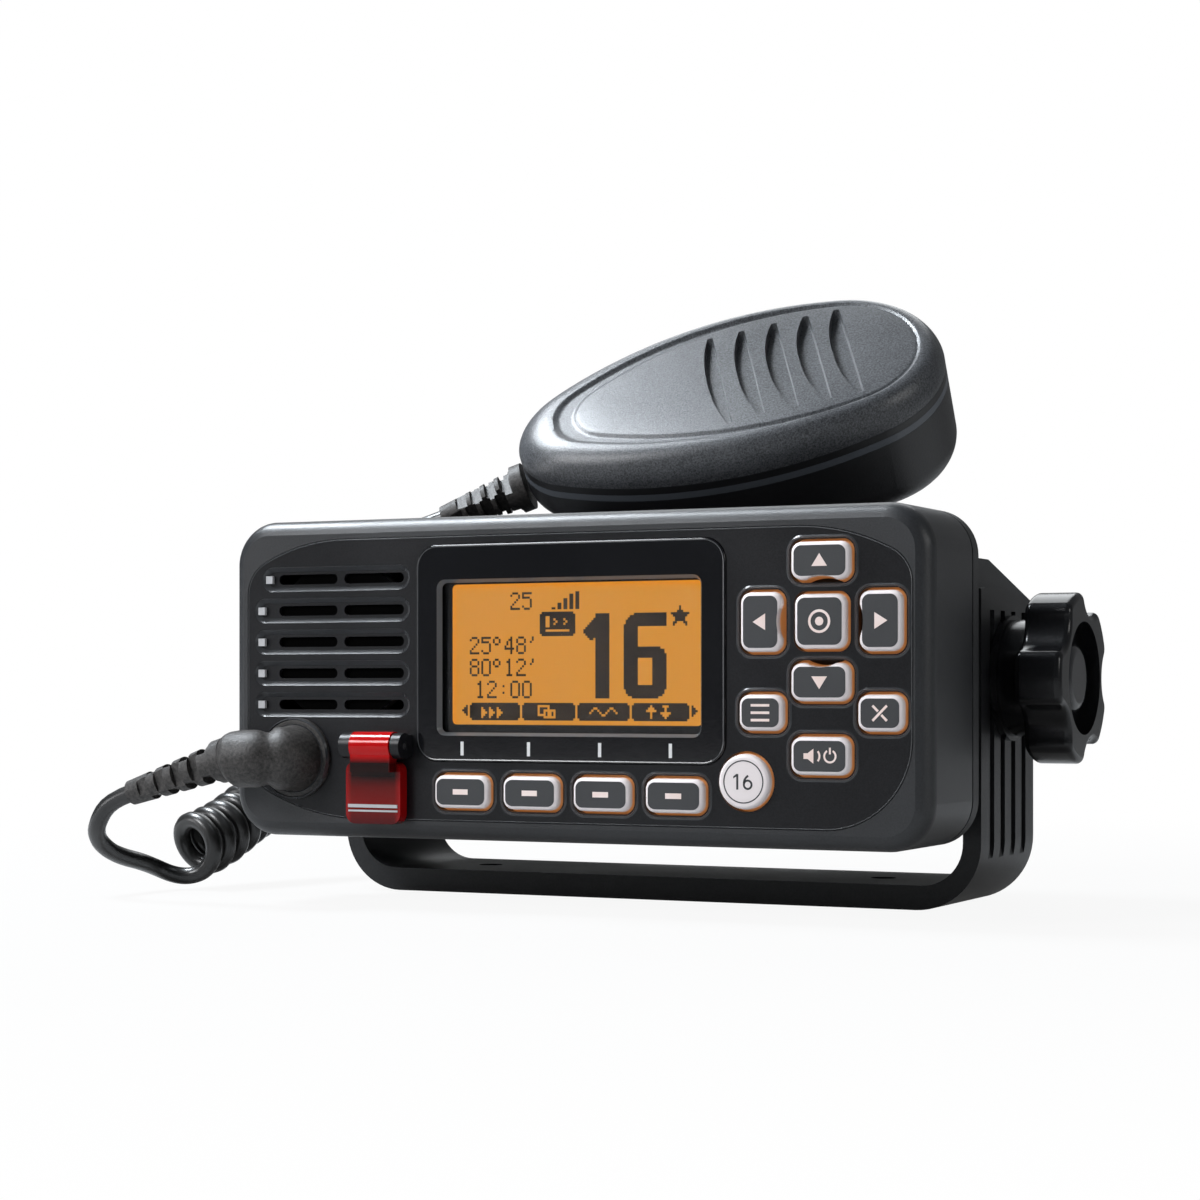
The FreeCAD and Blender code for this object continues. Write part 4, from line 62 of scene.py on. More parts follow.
class Socket:
    """An output of a shader node, with sums that add Math nodes to its tree."""

    def __init__(self, tree, output=None):
        self.tree = tree
        self.output = output

    def make(self, kind, settings=None, inputs=None, output=0):
        """Adds a node, gives it its settings, then its inputs, and returns one of its outputs."""
        node = self.tree.nodes.new("ShaderNode" + kind)
        for name, setting in (settings or {}).items():
            if name == "stops":
                while len(node.color_ramp.elements) < len(setting):
                    node.color_ramp.elements.new(1)
                for element, (place, colour) in zip(node.color_ramp.elements, setting):
                    element.position = place
                    element.color = (*colour, 1)
            else:
                setattr(node, name, setting)
        for name, given in (inputs or {}).items():
            if isinstance(given, Socket):
                self.tree.links.new(given.output, node.inputs[name])
            else:
                node.inputs[name].default_value = given
        return Socket(self.tree, node.outputs[output])

    def beside(self, name):
        """Another output of the same node."""
        return Socket(self.tree, self.output.node.outputs[name])

    def place(self):
        """Where a point lies on the object, in metres."""
        return self.make("TexCoord", output="Object")

    def axes(self):
        """The X, Y and Z of where a point lies, in metres."""
        parts = self.make("SeparateXYZ", None, {0: self.place()})
        return [parts.beside(name) for name in "XYZ"]

    def mottle(self, scale, **inputs):
        """Noise over the object, in spots of about 1 / scale metres."""
        return self.make("TexNoise", None, {"Vector": self.place(), "Scale": scale, **inputs})

    def passage(self, start, end, first=0.0, last=1.0, kind="LINEAR"):
        """From one value at the start to another at the end."""
        ends = {"From Min": start, "From Max": end, "To Min": first, "To Max": last}
        return self.make("MapRange", {"interpolation_type": kind}, {"Value": self, **ends})

    def colours(self, *stops):
        """Colours for this value, from stops of a value and its colour."""
        return self.make("ValToRGB", {"stops": stops}, {0: self})

    def bump(self, strength, distance):
        """A surface raised where this value is high."""
        return self.make("Bump", None, {"Height": self, "Strength": strength, "Distance": distance})

    def maths(self, operation, *numbers):
        return self.make("Math", {"operation": operation}, dict(enumerate(numbers)))

    def __add__(self, other):
        return self.maths("ADD", self, other)

    def __sub__(self, other):
        return self.maths("SUBTRACT", self, other)

    def __rsub__(self, other):
        return self.maths("SUBTRACT", other, self)

    def __mul__(self, other):
        return self.maths("MULTIPLY", self, other)

    def __lt__(self, other):
        return self.maths("LESS_THAN", self, other)

    __radd__ = __add__
    __rmul__ = __mul__


def new_material(name, roughness, metallic=0.0, **constants):
    """A material with its Principled shader set, and a Socket to make its other nodes from."""
    material = bpy.data.materials.new(name)
    material.use_nodes = True
    tree = material.node_tree
    shader = tree.nodes["Principled BSDF"]
    shader.inputs["Roughness"].default_value = roughness
    shader.inputs["Metallic"].default_value = metallic
    for constant, given in constants.items():
        shader.inputs[constant.replace("_", " ")].default_value = given
    return material, shader, Socket(tree)


def feed(shader, **sources):
    """Links sockets or sets values on a shader's inputs."""
    for name, source in sources.items():
        socket = shader.inputs[name.replace("_", " ")]
        if isinstance(source, Socket):
            source.tree.links.new(source.output, socket)
        else:
            socket.default_value = source


def new_piece(name, mesh_builder, material, body, smooth=True):
    """Makes a mesh object out of a bmesh, gives it its material and lets it ride on a body."""
    mesh = bpy.data.meshes.new(name)
    mesh_builder.normal_update()
    for face in mesh_builder.faces:
        face.smooth = smooth
    mesh_builder.to_mesh(mesh)
    mesh_builder.free()
    mesh.materials.append(material)
    piece = bpy.data.objects.new(name, mesh)
    bpy.context.scene.collection.objects.link(piece)
    if smooth:
        mesh.set_sharp_from_angle(angle=math.radians(32))
    if body:
        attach(piece, body)
    return piece


BOARD_GREY = (0.4, 0.4, 0.4, 1)
SHADOW_NEAR, SHADOW_FAR = 0.08, 0.5
MIRRORED_WHITE = 0.12


def pale_board(name, size, tilt, place, near):
    """A board that shows shadows near the radio and looks white further off."""
    material, shader, nodes = new_material("pale_" + name, 0.9)
    feed(shader, Base_Color=BOARD_GREY)
    away = nodes.make("VectorMath", {"operation": "LENGTH"}, {0: nodes.place()}, output="Value")
    whiteness = away.passage(SHADOW_NEAR, SHADOW_FAR, near, 1.0, "SMOOTHSTEP")
    rays = nodes.make("LightPath")
    share = (rays.beside("Is Camera Ray") + rays.beside("Is Transmission Ray")) * whiteness
    share = share + rays.beside("Is Glossy Ray") * MIRRORED_WHITE
    white = nodes.make("Emission", None, {"Color": (1, 1, 1, 1), "Strength": 1.0})
    grey = Socket(nodes.tree, shader.outputs[0])
    mixed = nodes.make("MixShader", None, {0: share, 1: grey, 2: white})
    nodes.tree.links.new(mixed.output, nodes.tree.nodes["Material Output"].inputs["Surface"])
    builder = bmesh.new()
    bmesh.ops.create_grid(builder, x_segments=1, y_segments=1, size=size)
    bmesh.ops.rotate(builder, verts=builder.verts, matrix=Matrix.Rotation(math.radians(tilt), 3, "X"))
    bmesh.ops.translate(builder, verts=builder.verts, vec=place)
    return new_piece(name, builder, material, None)


floor = pale_board("floor", 4, 0, (0, 2, -0.0003), 0.92)
backdrop = pale_board("backdrop", 9, 90, (0, 5, 3), 1.0)

world = bpy.data.worlds.new("room")
world.use_nodes = True
bpy.context.scene.world = world
room = Socket(world.node_tree)
to_camera = room.make("LightPath").beside("Is Camera Ray")
dim_room = room.make("Background", None, {"Color": (0.86, 0.93, 1.0, 1), "Strength": 0.17})
white_room = room.make("Background", None, {"Color": (1, 1, 1, 1), "Strength": 1.0})
both = room.make("MixShader", None, {0: to_camera, 1: dim_room, 2: white_room})
world.node_tree.links.new(both.output, world.node_tree.nodes["World Output"].inputs["Surface"])

# Each lamp's name, place, width in metres, power in watts and colour.
LAMPS = [
    ("upper_left_lamp", (-0.62, -0.06, 1.02), 0.45, 22.0, (0.88, 0.94, 1.0)),
    ("front_lamp", (-0.72, -1.2, 0.85), 0.5, 15.0, (0.97, 0.98, 1.0)),
    ("left_lamp", (-1.05, -0.7, 0.2), 0.4, 2.0, (0.98, 0.98, 1.0)),
    ("right_lamp", (1.25, -0.3, 0.5), 0.5, 2.6, (1.0, 0.99, 0.97)),
    ("rear_lamp", (-0.35, 0.95, 1.0), 0.9, 6.0, (0.95, 0.98, 1.0)),
]
RADIO_MIDDLE = Vector((0, 0, 0.06))
for lamp_name, place, width, power, colour in LAMPS:
    lamp_data = bpy.data.lights.new(lamp_name, "AREA")
    lamp_data.shape = "DISK"
    lamp_data.size = width
    lamp_data.energy = power
    lamp_data.color = colour
    lamp = bpy.data.objects.new(lamp_name, lamp_data)
    lamp.location = place
    lamp.rotation_euler = (RADIO_MIDDLE - Vector(place)).to_track_quat("-Z", "Y").to_euler()
    bpy.context.scene.collection.objects.link(lamp)

# ---------------------------------------------------------------- microphone cord
# One glossy rubber-covered cable, 4.6 mm thick. It leaves the front boot, turns back under
# itself into a curly stretch that opens out at both ends, and runs on to the microphone.
CORD_RADIUS = 2.3 * MM
CURL_RADIUS = 6.5 * MM
CURL_PITCH = 5.7 * MM
CURL_STEPS = 16
CURL_OPENING = 9 * MM
OPENED_PITCH = 5
FIRST_TURNS_WIDER = 0.14
CURL_START = math.radians(-150)
STEPS_LEFT_OFF = 9
RUN_OUT = 10 * MM
LEAD_ROUTE = [
    (-117.3748, -79.4, 27.3219),
    (-124.3654, -79.4, 25.1846),
    (-129.8, -77.6, 19.4),
    (-133.2, -73.4, 15.2),
    (-133.6, -68.0, 11.6),
    (-133.4, -61.5, 9.4),
    (-132.4, -55.0, 7.9),
]
COIL_ROUTE = [
    (-126.2, -48.6, 9.3),
    (-125.9, -42.5, 10.7),
    (-124.0, -31.0, 14.0),
    (-124.2, -19.5, 18.6),
    (-124.8, -7.5, 22.4),
    (-123.0, 8.0, 28.0),
    (-118.6, 24.5, 37.0),
    (-112.0, 40.0, 49.0),
    (-104.5, 52.0, 62.5),
]
MIC_LEAD_ROUTE = [
    (-92.0, 53.5, 82.0),
    (-87.6, 45.5, 86.4),
    (-84.2, 35.0, 88.6),
    (-81.4, 24.0, 89.6),
    (-79.6, 12.5, 89.4),
    (-79.2, 1.0, 88.7),
    (-80.4, -9.5, 88.9),
    (-81.2, -18.5, 90.4),
    (-77.6, -25.8, 93.2),
    (-61.4855, -30.5161, 95.9137),
    (-54.8683, -28.6821, 98.4209),
]


def nurbs_curve(name, points):
    """A smooth open curve with these points, in metres, as its control points."""
    data = bpy.data.curves.new(name, "CURVE")
    data.dimensions = "3D"
    spline = data.splines.new("NURBS")
    spline.points.add(len(points) - 1)
    for spot, point in zip(spline.points, points):
        spot.co = (*point, 1)
    spline.order_u = 3
    spline.use_endpoint_u = True
    curve = bpy.data.objects.new(name, data)
    bpy.context.scene.collection.objects.link(curve)
    return curve


def in_metres(points):
    return [Vector(point) * MM for point in points]


def across_line(way):
    """The level and the upright direction across a line that runs this way."""
    side = way.cross(Vector((0, 0, 1))).normalized()
    return side, side.cross(way)


coil_line = nurbs_curve("coil_line", in_metres(COIL_ROUTE))
coil_line.data.resolution_u = 24
line_mesh = bpy.data.meshes.new_from_object(coil_line)
centres = [vertex.co.copy() for vertex in line_mesh.vertices]
bpy.data.objects.remove(coil_line)
travel = [0.0]
for here, there in zip(centres, centres[1:]):
    travel.append(travel[-1] + (there - here).length)
helix = []
gone = 0.0
while gone < travel[-1]:
    index = next(i for i in range(1, len(travel)) if travel[i] >= gone)
    share = (gone - travel[index - 1]) / (travel[index] - travel[index - 1])
    middle = centres[index - 1].lerp(centres[index], share)
    side, up = across_line((centres[index] - centres[index - 1]).normalized())
    turn = CURL_START + 2 * math.pi * len(helix) / CURL_STEPS
    radius = CURL_RADIUS * (1 + FIRST_TURNS_WIDER * max(0.0, 1 - gone / (3 * CURL_OPENING)))
    helix.append(middle + (side * math.cos(turn) + up * math.sin(turn)) * radius)
    opening = max(0.0, 1 - min(gone, travel[-1] - gone) / CURL_OPENING)
    gone += CURL_PITCH / CURL_STEPS * (1 + OPENED_PITCH * opening)
helix = helix[:-STEPS_LEFT_OFF]
helix.append(helix[-1] + (helix[-1] - helix[-2]).normalized() * RUN_OUT)
mic_cord = nurbs_curve("mic_cord", in_metres(LEAD_ROUTE) + helix + in_metres(MIC_LEAD_ROUTE))
mic_cord.data.bevel_depth = CORD_RADIUS
mic_cord.data.bevel_resolution = 4
mic_cord.data.resolution_u = 4
mic_cord.data.use_fill_caps = True

cord_rubber, cord_shader, nodes = new_material("cord_rubber", 0.3, Coat_Weight=0.2, Coat_Roughness=0.15)
dust = nodes.mottle(90.0, Detail=5.0, Roughness=0.6)
skin = nodes.mottle(1500.0, Detail=2.0)
feed(
    cord_shader,
    Base_Color=dust.colours((0.35, (0.004, 0.004, 0.004)), (0.75, (0.016, 0.015, 0.014))),
    Roughness=dust * 0.25 + 0.22,
    Normal=skin.bump(0.12, 0.0001),
)
mic_cord.data.materials.append(cord_rubber)
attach(mic_cord, "radio")
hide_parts("cord_lead", "coil_cord", "mic_lead")

# ---------------------------------------------------------------- mounting bracket
# One U of black glass-filled plastic with ribs on its arms. It is moulded in one piece, stands
# on the table, and holds the radio between its arms.
BROAD_SPOTS = 28.0


def moulded(name, low, high, roughness, grain, relief, fleck=0.0, **constants):
    """Plastic between two colours, with a grain of a given size in millimetres and depth, and flecks."""
    material, shader, nodes = new_material(name, roughness, **constants)
    fine = nodes.mottle(1000 / grain, Detail=3.0, Roughness=0.7)
    broad = nodes.mottle(BROAD_SPOTS, Detail=3.0)
    tone = (fine - 0.5) * fleck + (broad - 0.5) * 0.5 + 0.5
    feed(
        shader,
        Base_Color=tone.colours((0.2, low), (0.8, high)),
        Roughness=(broad - 0.5) * 0.16 + (fine - 0.5) * 0.1 + roughness,
        Normal=fine.bump(relief, grain * 0.25 * MM),
    )
    return material


def dress(material, *nodes_named):
    """Gives carried-over solids their finish."""
    for name in nodes_named:
        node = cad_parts[name]
        if not node.data.materials:
            node.data.materials.append(material)
        for slot in node.material_slots:
            slot.material = material


dress(moulded("bracket_plastic", (0.006, 0.006, 0.0065), (0.02, 0.0205, 0.022), 0.38, 0.5, 0.4, 0.7,
              Specular_IOR_Level=0.32), "mounting_bracket")

# ---------------------------------------------------------------- knobs
# Star knobs of glossy black plastic, each with a round cap pressed into its recess and washers
# under it. Its steel screw runs through the bracket's arm into a brass insert in the chassis.
dress(moulded("knob_plastic", (0.003, 0.003, 0.0034), (0.01, 0.01, 0.0115), 0.22, 0.6, 0.14, 0.5,
              Specular_IOR_Level=0.35), "left_knob", "right_knob", "left_washer", "right_washer")
dress(moulded("knob_cap_plastic", (0.012, 0.012, 0.013), (0.03, 0.03, 0.033), 0.22, 0.6, 0.06, 0.3),
      "left_knob_cap", "right_knob_cap")
seal_rubber = moulded("seal_rubber", (0.008, 0.008, 0.008), (0.018, 0.018, 0.018), 0.7, 0.8, 0.3, 0.4)
dress(seal_rubber, "arm_washers")


def metal(name, colour, roughness, brush):
    """Machined or plated metal with faint tool marks."""
    material, shader, nodes = new_material(name, roughness, 1.0)
    marks = nodes.mottle(600.0, Detail=4.0)
    dark = tuple(part * 0.7 for part in colour)
    feed(
        shader,
        Base_Color=marks.colours((0.3, dark), (0.7, colour)),
        Roughness=marks * 0.2 + (roughness - 0.1),
        Normal=marks.bump(brush, 0.0001),
    )
    return material


steel = metal("steel", (0.55, 0.55, 0.56), 0.3, 0.1)
dress(steel, "left_knob_screw", "right_knob_screw")
brass = metal("brass", (0.72, 0.52, 0.26), 0.3, 0.1)
dress(brass, "knob_inserts")

# ---------------------------------------------------------------- rear chassis
# A die-cast metal box with cooling fins, painted dark grey, and a gasket where the front meets
# it. Steel screws hold them together, and its back has a plated socket and a rubber gland.
dress(moulded("chassis_paint", (0.012, 0.0125, 0.013), (0.028, 0.029, 0.031), 0.5, 0.6, 0.6, 0.8),
      "rear_chassis")
dress(seal_rubber, "body_gasket", "power_gland")
dress(steel, "rear_screws")
nickel = metal("nickel", (0.6, 0.58, 0.54), 0.28, 0.1)
dress(nickel, "antenna_socket")

# ---------------------------------------------------------------- boards and loudspeaker
# Inside are two lacquered circuit boards and a loudspeaker in a steel basket. Black cloth
# between it and the front shows through the speaker grooves.
board_lacquer = moulded("board_lacquer", (0.004, 0.03, 0.012), (0.008, 0.05, 0.02), 0.3, 2.0, 0.1, 0.4)
dress(board_lacquer, "control_board", "main_board")
dress(metal("speaker_basket", (0.3, 0.3, 0.3), 0.45, 0.2), "loudspeaker")
dress(moulded("cloth_weave", (0.0005, 0.0005, 0.0005), (0.002, 0.002, 0.002), 0.95, 0.5, 0.6, 0.6,
              Specular_IOR_Level=0.02), "speaker_cloth")

# ---------------------------------------------------------------- front bezel and panel
# A ring of grained charcoal plastic round a smoother black panel. Glossy edges are moulded into
# the panel: a bead inside its contour, lips round the keys and sloped sides in the grooves. Their
# lighter colour is painted highlight, and pale squares at the grooves' left ends are painted glints.
FACE = -70.1
LIPPED_KEYS = ("soft_key_1", "soft_key_2", "soft_key_3", "soft_key_4", "clear_key", "menu_key",
               "volume_key", "channel_up_key", "channel_down_key", "left_key", "right_key")
GROOVE_MIDDLE_UP, GROOVE_PITCH, GROOVE_TALL = 65.55, 7.85, 6.2
TOP_ROW = 2
dress(moulded("bezel_plastic", (0.007, 0.0073, 0.008), (0.024, 0.0255, 0.0285), 0.38, 0.42, 0.42, 0.9),
      "front_bezel")
dress(moulded("panel_plastic", (0.002, 0.002, 0.0025), (0.0095, 0.0095, 0.0115), 0.33, 0.4, 0.25, 1.2,
              Specular_IOR_Level=0.28), "front_panel")
# Lighter plastics for moulded edges and small squares: their colour is painted highlight and glint.
lip_highlight_plastic = moulded("lip_highlight_plastic", (0.03, 0.031, 0.034), (0.055, 0.057, 0.06), 0.2, 0.8, 0.03, 0.2)
contour_highlight_plastic = moulded("contour_highlight_plastic", (0.08, 0.083, 0.086), (0.14, 0.143, 0.147), 0.22, 0.8, 0.03, 0.2)
pale_highlight_plastic = moulded("pale_highlight_plastic", (0.4, 0.4, 0.41), (0.55, 0.55, 0.56), 0.25, 0.8, 0.03, 0.2)


def copy_of(node):
    """The merged mesh of a carried-over solid, as a bmesh."""
    builder = bmesh.new()
    builder.from_mesh(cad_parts[node].data)
    bmesh.ops.remove_doubles(builder, verts=builder.verts, dist=1e-6)
    return builder


def rim_loops(node, level):
    """The closed edges, as X, Z points in millimetres, of a solid's flat faces at a level of Y."""
    builder = copy_of(node)
    flat = [face for face in builder.faces if all(abs(v.co.y - level * MM) < 1e-5 for v in face.verts)]
    at_level = set(flat)
    onward = {}
    for face in flat:
        for loop in face.loops:
            if not any(other in at_level for other in loop.edge.link_faces if other != face):
                onward[loop.vert] = loop.link_loop_next.vert
    loops = []
    while onward:
        first, vertex = onward.popitem()
        chain = [first]
        while vertex != first and vertex in onward:
            chain.append(vertex)
            vertex = onward.pop(vertex)
        loops.append([(v.co.x / MM, v.co.z / MM) for v in chain])
    builder.free()
    return loops


def width_of(loop):
    return max(x for x, z in loop) - min(x for x, z in loop)


def middle_of(loop):
    return [(max(line) + min(line)) / 2 for line in zip(*loop)]


def spread(loop, distance):
    """The loop moved outwards (or inwards, below 0) by a distance, corner by corner."""
    points = [p for p, q in zip(loop, loop[1:] + loop[:1]) if math.dist(p, q) > 0.02]
    area = sum(p[0] * q[1] - q[0] * p[1] for p, q in zip(points, points[1:] + points[:1]))
    if area < 0:
        points.reverse()
    moved = []
    for before, here, after in zip(points[-1:] + points, points, points[1:] + points[:1]):
        first = Vector((here[1] - before[1], before[0] - here[0])).normalized()
        second = Vector((after[1] - here[1], here[0] - after[0])).normalized()
        middle = (first + second) / max(0.5, 1 + first.dot(second))
        moved.append((here[0] + middle.x * distance, here[1] + middle.y * distance))
    return moved


def cover(builder, rows, capped=True):
    """Faces between rows of vertices that run round a piece, and over its first and last row."""
    for row, next_row in zip(rows, rows[1:]):
        for index in range(len(row)):
            after = (index + 1) % len(row)
            builder.faces.new((row[index], row[after], next_row[after], next_row[index]))
    if capped:
        builder.faces.new(rows[0])
        builder.faces.new(rows[-1])
    bmesh.ops.recalc_face_normals(builder, faces=builder.faces)


def ring_piece(name, loop, profile, material):
    """A closed ring along a loop, from its section: distances outwards and levels of Y in millimetres."""
    builder = bmesh.new()
    rows = [[builder.verts.new((x * MM, level * MM, z * MM)) for x, z in spread(loop, out)]
            for out, level in profile]
    cover(builder, rows + rows[:1], capped=False)
    return new_piece(name, builder, material, "radio", smooth=False)


def round_box(x, z, wide, tall, radius, parts=8):
    """The outline of a box with round corners, in millimetres."""
    points = []
    for corner, (across, up) in enumerate(((1, 1), (-1, 1), (-1, -1), (1, -1))):
        for part in range(parts + 1):
            turn = math.radians(90 * (corner + part / parts))
            points.append((x + across * (wide / 2 - radius) + radius * math.cos(turn),
                           z + up * (tall / 2 - radius) + radius * math.sin(turn)))
    return points


def block(builder, middle, size):
    """Adds a box by its middle and its size in millimetres."""
    place = Matrix.Translation([part * MM for part in middle])
    stretch = Matrix.Diagonal([part * MM for part in size] + [1])
    bmesh.ops.create_cube(builder, size=1, matrix=place @ stretch)


panel_loops = rim_loops("front_panel", FACE)
contour = max(panel_loops, key=width_of)
# A bead inside the panel's contour, lighter than the panel: a painted highlight.
bead_section = ((-0.02, FACE + 0.1), (-0.2, FACE - 0.14), (-0.38, FACE + 0.1))
ring_piece("contour_highlight", contour, bead_section, contour_highlight_plastic)
# Lips round the keys, lighter than the panel: painted highlights.
lip_section = ((0.15, FACE + 0.1), (0.55, FACE - 0.3), (1.1, FACE + 0.1))
for key in LIPPED_KEYS:
    key_low, key_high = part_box(key)
    key_middle = ((key_low.x + key_high.x) / 2 / MM, (key_low.z + key_high.z) / 2 / MM)
    hole = min(panel_loops, key=lambda loop: math.dist(key_middle, middle_of(loop)))
    ring_piece(key + "_lip", hole, lip_section, lip_highlight_plastic)

# Sloped sides in the grooves, lighter than the panel: painted highlights.
slope_section = ((-0.02, FACE + 0.02), (-1.15, FACE + 1.2), (-0.02, FACE + 1.25))
# Pale squares at the grooves' left ends: painted glints.
glints = bmesh.new()
for row in range(-TOP_ROW, TOP_ROW + 1):
    level_z = GROOVE_MIDDLE_UP + GROOVE_PITCH * row
    wide, middle_x = (42.9, -62.45) if row == TOP_ROW else (45.2, -63.6)
    groove = round_box(middle_x, level_z, wide, GROOVE_TALL, 3.05)
    slope = ring_piece(f"groove_slope_{row + 3}", groove, slope_section, lip_highlight_plastic)
    block(glints, (middle_x - wide / 2 + 1.75, FACE + 0.7, level_z), (1.9, 0.9, 1.9))
new_piece("groove_end_glints", glints, pale_highlight_plastic, "radio", smooth=False)

# ---------------------------------------------------------------- cord boot
# The rubber boot of the cord is one moulding: a barrel that turns from the gland to the left,
# a slight waist and a second barrel that runs on over the start of the slotted strain relief.
# A brass nut holds the gland behind the front.
boot_rubber = moulded("boot_rubber", (0.008, 0.0075, 0.007), (0.055, 0.05, 0.047), 0.5, 0.8, 0.6, 1.6,
                      Specular_IOR_Level=0.4)
dress(boot_rubber, "cord_gland", "elbow_boot", "front_relief", "mic_relief")
dress(brass, "gland_nut")
GLAND_ACROSS, GLAND_FACE, GLAND_UP = -74.0, -71.4, 36.4
BOOT_BEND = 8.0
BOOT_RUN_ON, BOOT_DROOP = 5.0, math.radians(17)
BARREL, SECOND_BARREL_LESS = 7.9, 0.7
BOOT_PARTS, BOOT_SPOKES = 24, 40
boot_line = []
for part in range(BOOT_PARTS + 1):
    turn = math.radians(90 * part / BOOT_PARTS)
    boot_line.append(Vector((GLAND_ACROSS - BOOT_BEND + BOOT_BEND * math.cos(turn),
                             GLAND_FACE - BOOT_BEND * math.sin(turn), GLAND_UP)))
droop = Vector((-math.cos(BOOT_DROOP), 0, -math.sin(BOOT_DROOP)))
for part in range(1, BOOT_PARTS + 1):
    bend = Vector((-1, 0, 0)).lerp(droop, part / BOOT_PARTS).normalized()
    boot_line.append(boot_line[-1] + bend * BOOT_RUN_ON / BOOT_PARTS)
boot_builder = bmesh.new()
rows = []
run = 0.0
for count, centre in enumerate(boot_line):
    if count:
        run += (centre - boot_line[count - 1]).length
    way = (boot_line[min(count + 1, len(boot_line) - 1)] - boot_line[max(count - 1, 0)]).normalized()
    side, up = across_line(way)
    waist = 0.9 * math.exp(-((run - 7.2) / 1.5) ** 2)
    flare = 0.5 * math.exp(-(run / 1.4) ** 2)
    rounded_end = 0.8 * max(0, (run - 15.6) / 2) ** 2
    radius = BARREL - SECOND_BARREL_LESS * min(1, max(0, (run - 6) / 2)) - waist + flare - rounded_end
    turns = [2 * math.pi * spoke / BOOT_SPOKES for spoke in range(BOOT_SPOKES)]
    spots = [centre + (side * math.cos(turn) + up * math.sin(turn)) * radius for turn in turns]
    rows.append([boot_builder.verts.new(spot * MM) for spot in spots])
cover(boot_builder, rows)
boot = new_piece("boot_barrels", boot_builder, boot_rubber, "radio")
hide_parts("elbow_boot")
# Two beads round the gland, lighter than the rubber: painted highlights.
gland_rim = round_box(GLAND_ACROSS, GLAND_UP, 20.4, 20.4, 10.19, 12)
for name, inward in (("gland_bead_outer", 0.4), ("gland_bead_inner", 1.7)):
    bead_section = ((0.35 - inward, GLAND_FACE + 0.3), (-inward, GLAND_FACE - 0.3),
                    (-inward - 0.35, GLAND_FACE + 0.3))
    ring_piece(name, gland_rim, bead_section, lip_highlight_plastic)

# ---------------------------------------------------------------- microphone back
# The back shell is smooth black plastic with a grey strip along its joint, a rubber talk switch
# and three rubber keys in its side, and a plated stud that hangs it on its clip.
dress(moulded("mic_back_plastic", (0.006, 0.006, 0.007), (0.014, 0.014, 0.016), 0.4, 0.6, 0.3, 0.5),
      "mic_rear_shell")
dress(moulded("strip_plastic", (0.06, 0.068, 0.08), (0.1, 0.11, 0.125), 0.35, 0.8, 0.1, 0.2),
      "mic_side_strip")
dress(moulded("mic_key_rubber", (0.02, 0.02, 0.021), (0.045, 0.045, 0.047), 0.6, 0.6, 0.3, 0.5),
      "talk_switch", "mic_up_key", "mic_down_key", "mic_power_key")
dress(nickel, "mic_hanger_stud", "mic_element")
dress(board_lacquer, "mic_board")

# ---------------------------------------------------------------- microphone front
# The front shell of the microphone is an egg-shaped moulding: a rounded shoulder up to a ridge,
# a shallow channel, and inside it a domed face with five lens-shaped sound grooves.
mic_plastic = moulded("mic_plastic", (0.016, 0.017, 0.019), (0.1, 0.105, 0.114), 0.36, 0.45, 0.5, 1.9)
MIC_PLACE = Matrix.Translation((0.0351, -0.0018, 0.130503))
for turn, axis in ((21.7, "Z"), (-13.3, "Y"), (40.5, "X")):
    MIC_PLACE = MIC_PLACE @ Matrix.Rotation(math.radians(turn), 4, axis)
TAIL_END, HEAD_END = -74.45, 36.95
TAIL_COLUMNS, BETWEEN_COLUMNS, HEAD_COLUMNS = 84, 6, 64
HALF_ROWS = 100
SOUND_GROOVES = ((-23.2, -19.2), (-15.3, -10.8), (-7.3, -2.2), (0.9, 6.2), (9.5, 14.3))
GROOVE_REACH, GROOVE_DEPTH = 19.5, 2.3
RIM_HEIGHT, SHOULDER_RISE = 1.4, 7.5
RIDGE_HEIGHT, CHANNEL_DEPTH = 8.95, 0.85
FACE_HEIGHT, FACE_DOME = 8.7, 0.45
SHELL_FOOT = 0.05


def egg_arcs(head, head_radius, tail, tail_radius, side_radius):
    """An egg outline as its head, side and tail arcs: centre, radius, first and last direction."""
    to_head, to_tail = side_radius - head_radius, side_radius - tail_radius
    across = (to_tail ** 2 - to_head ** 2 + head ** 2 - tail ** 2) / (2 * (head - tail))
    down = -math.sqrt(to_head ** 2 - (across - head) ** 2)
    lean, lean_back = math.atan2(-down, head - across), math.atan2(-down, tail - across)
    return ((head, 0.0, head_radius, 0.0, lean), (across, down, side_radius, lean, lean_back),
            (tail, 0.0, tail_radius, lean_back, math.pi))


def egg_depth(arcs, x, y):
    """How far a point is inside an egg outline (below 0 outside it)."""
    depths = []
    for centre_x, centre_y, radius, first, last in arcs:
        turn = math.atan2(abs(y) - centre_y, x - centre_x)
        if first - 0.01 <= turn <= last + 0.01:
            depths.append(radius - math.hypot(x - centre_x, abs(y) - centre_y))
    return min(depths)


OUTLINE = egg_arcs(9.0, 28.0, -55.5, 19.0, 100.0)
RIDGE = egg_arcs(8.2, 23.6, -50.5, 13.6, 92.0)
FACE_EDGE = egg_arcs(8.6, 21.9, -46.5, 11.2, 88.0)


def half_width(x):
    """The outline's half width at an X."""
    for centre_x, centre_y, radius, first, last in OUTLINE:
        if centre_x + radius * math.cos(last) <= x <= centre_x + radius * math.cos(first):
            return centre_y + math.sqrt(radius ** 2 - (x - centre_x) ** 2)


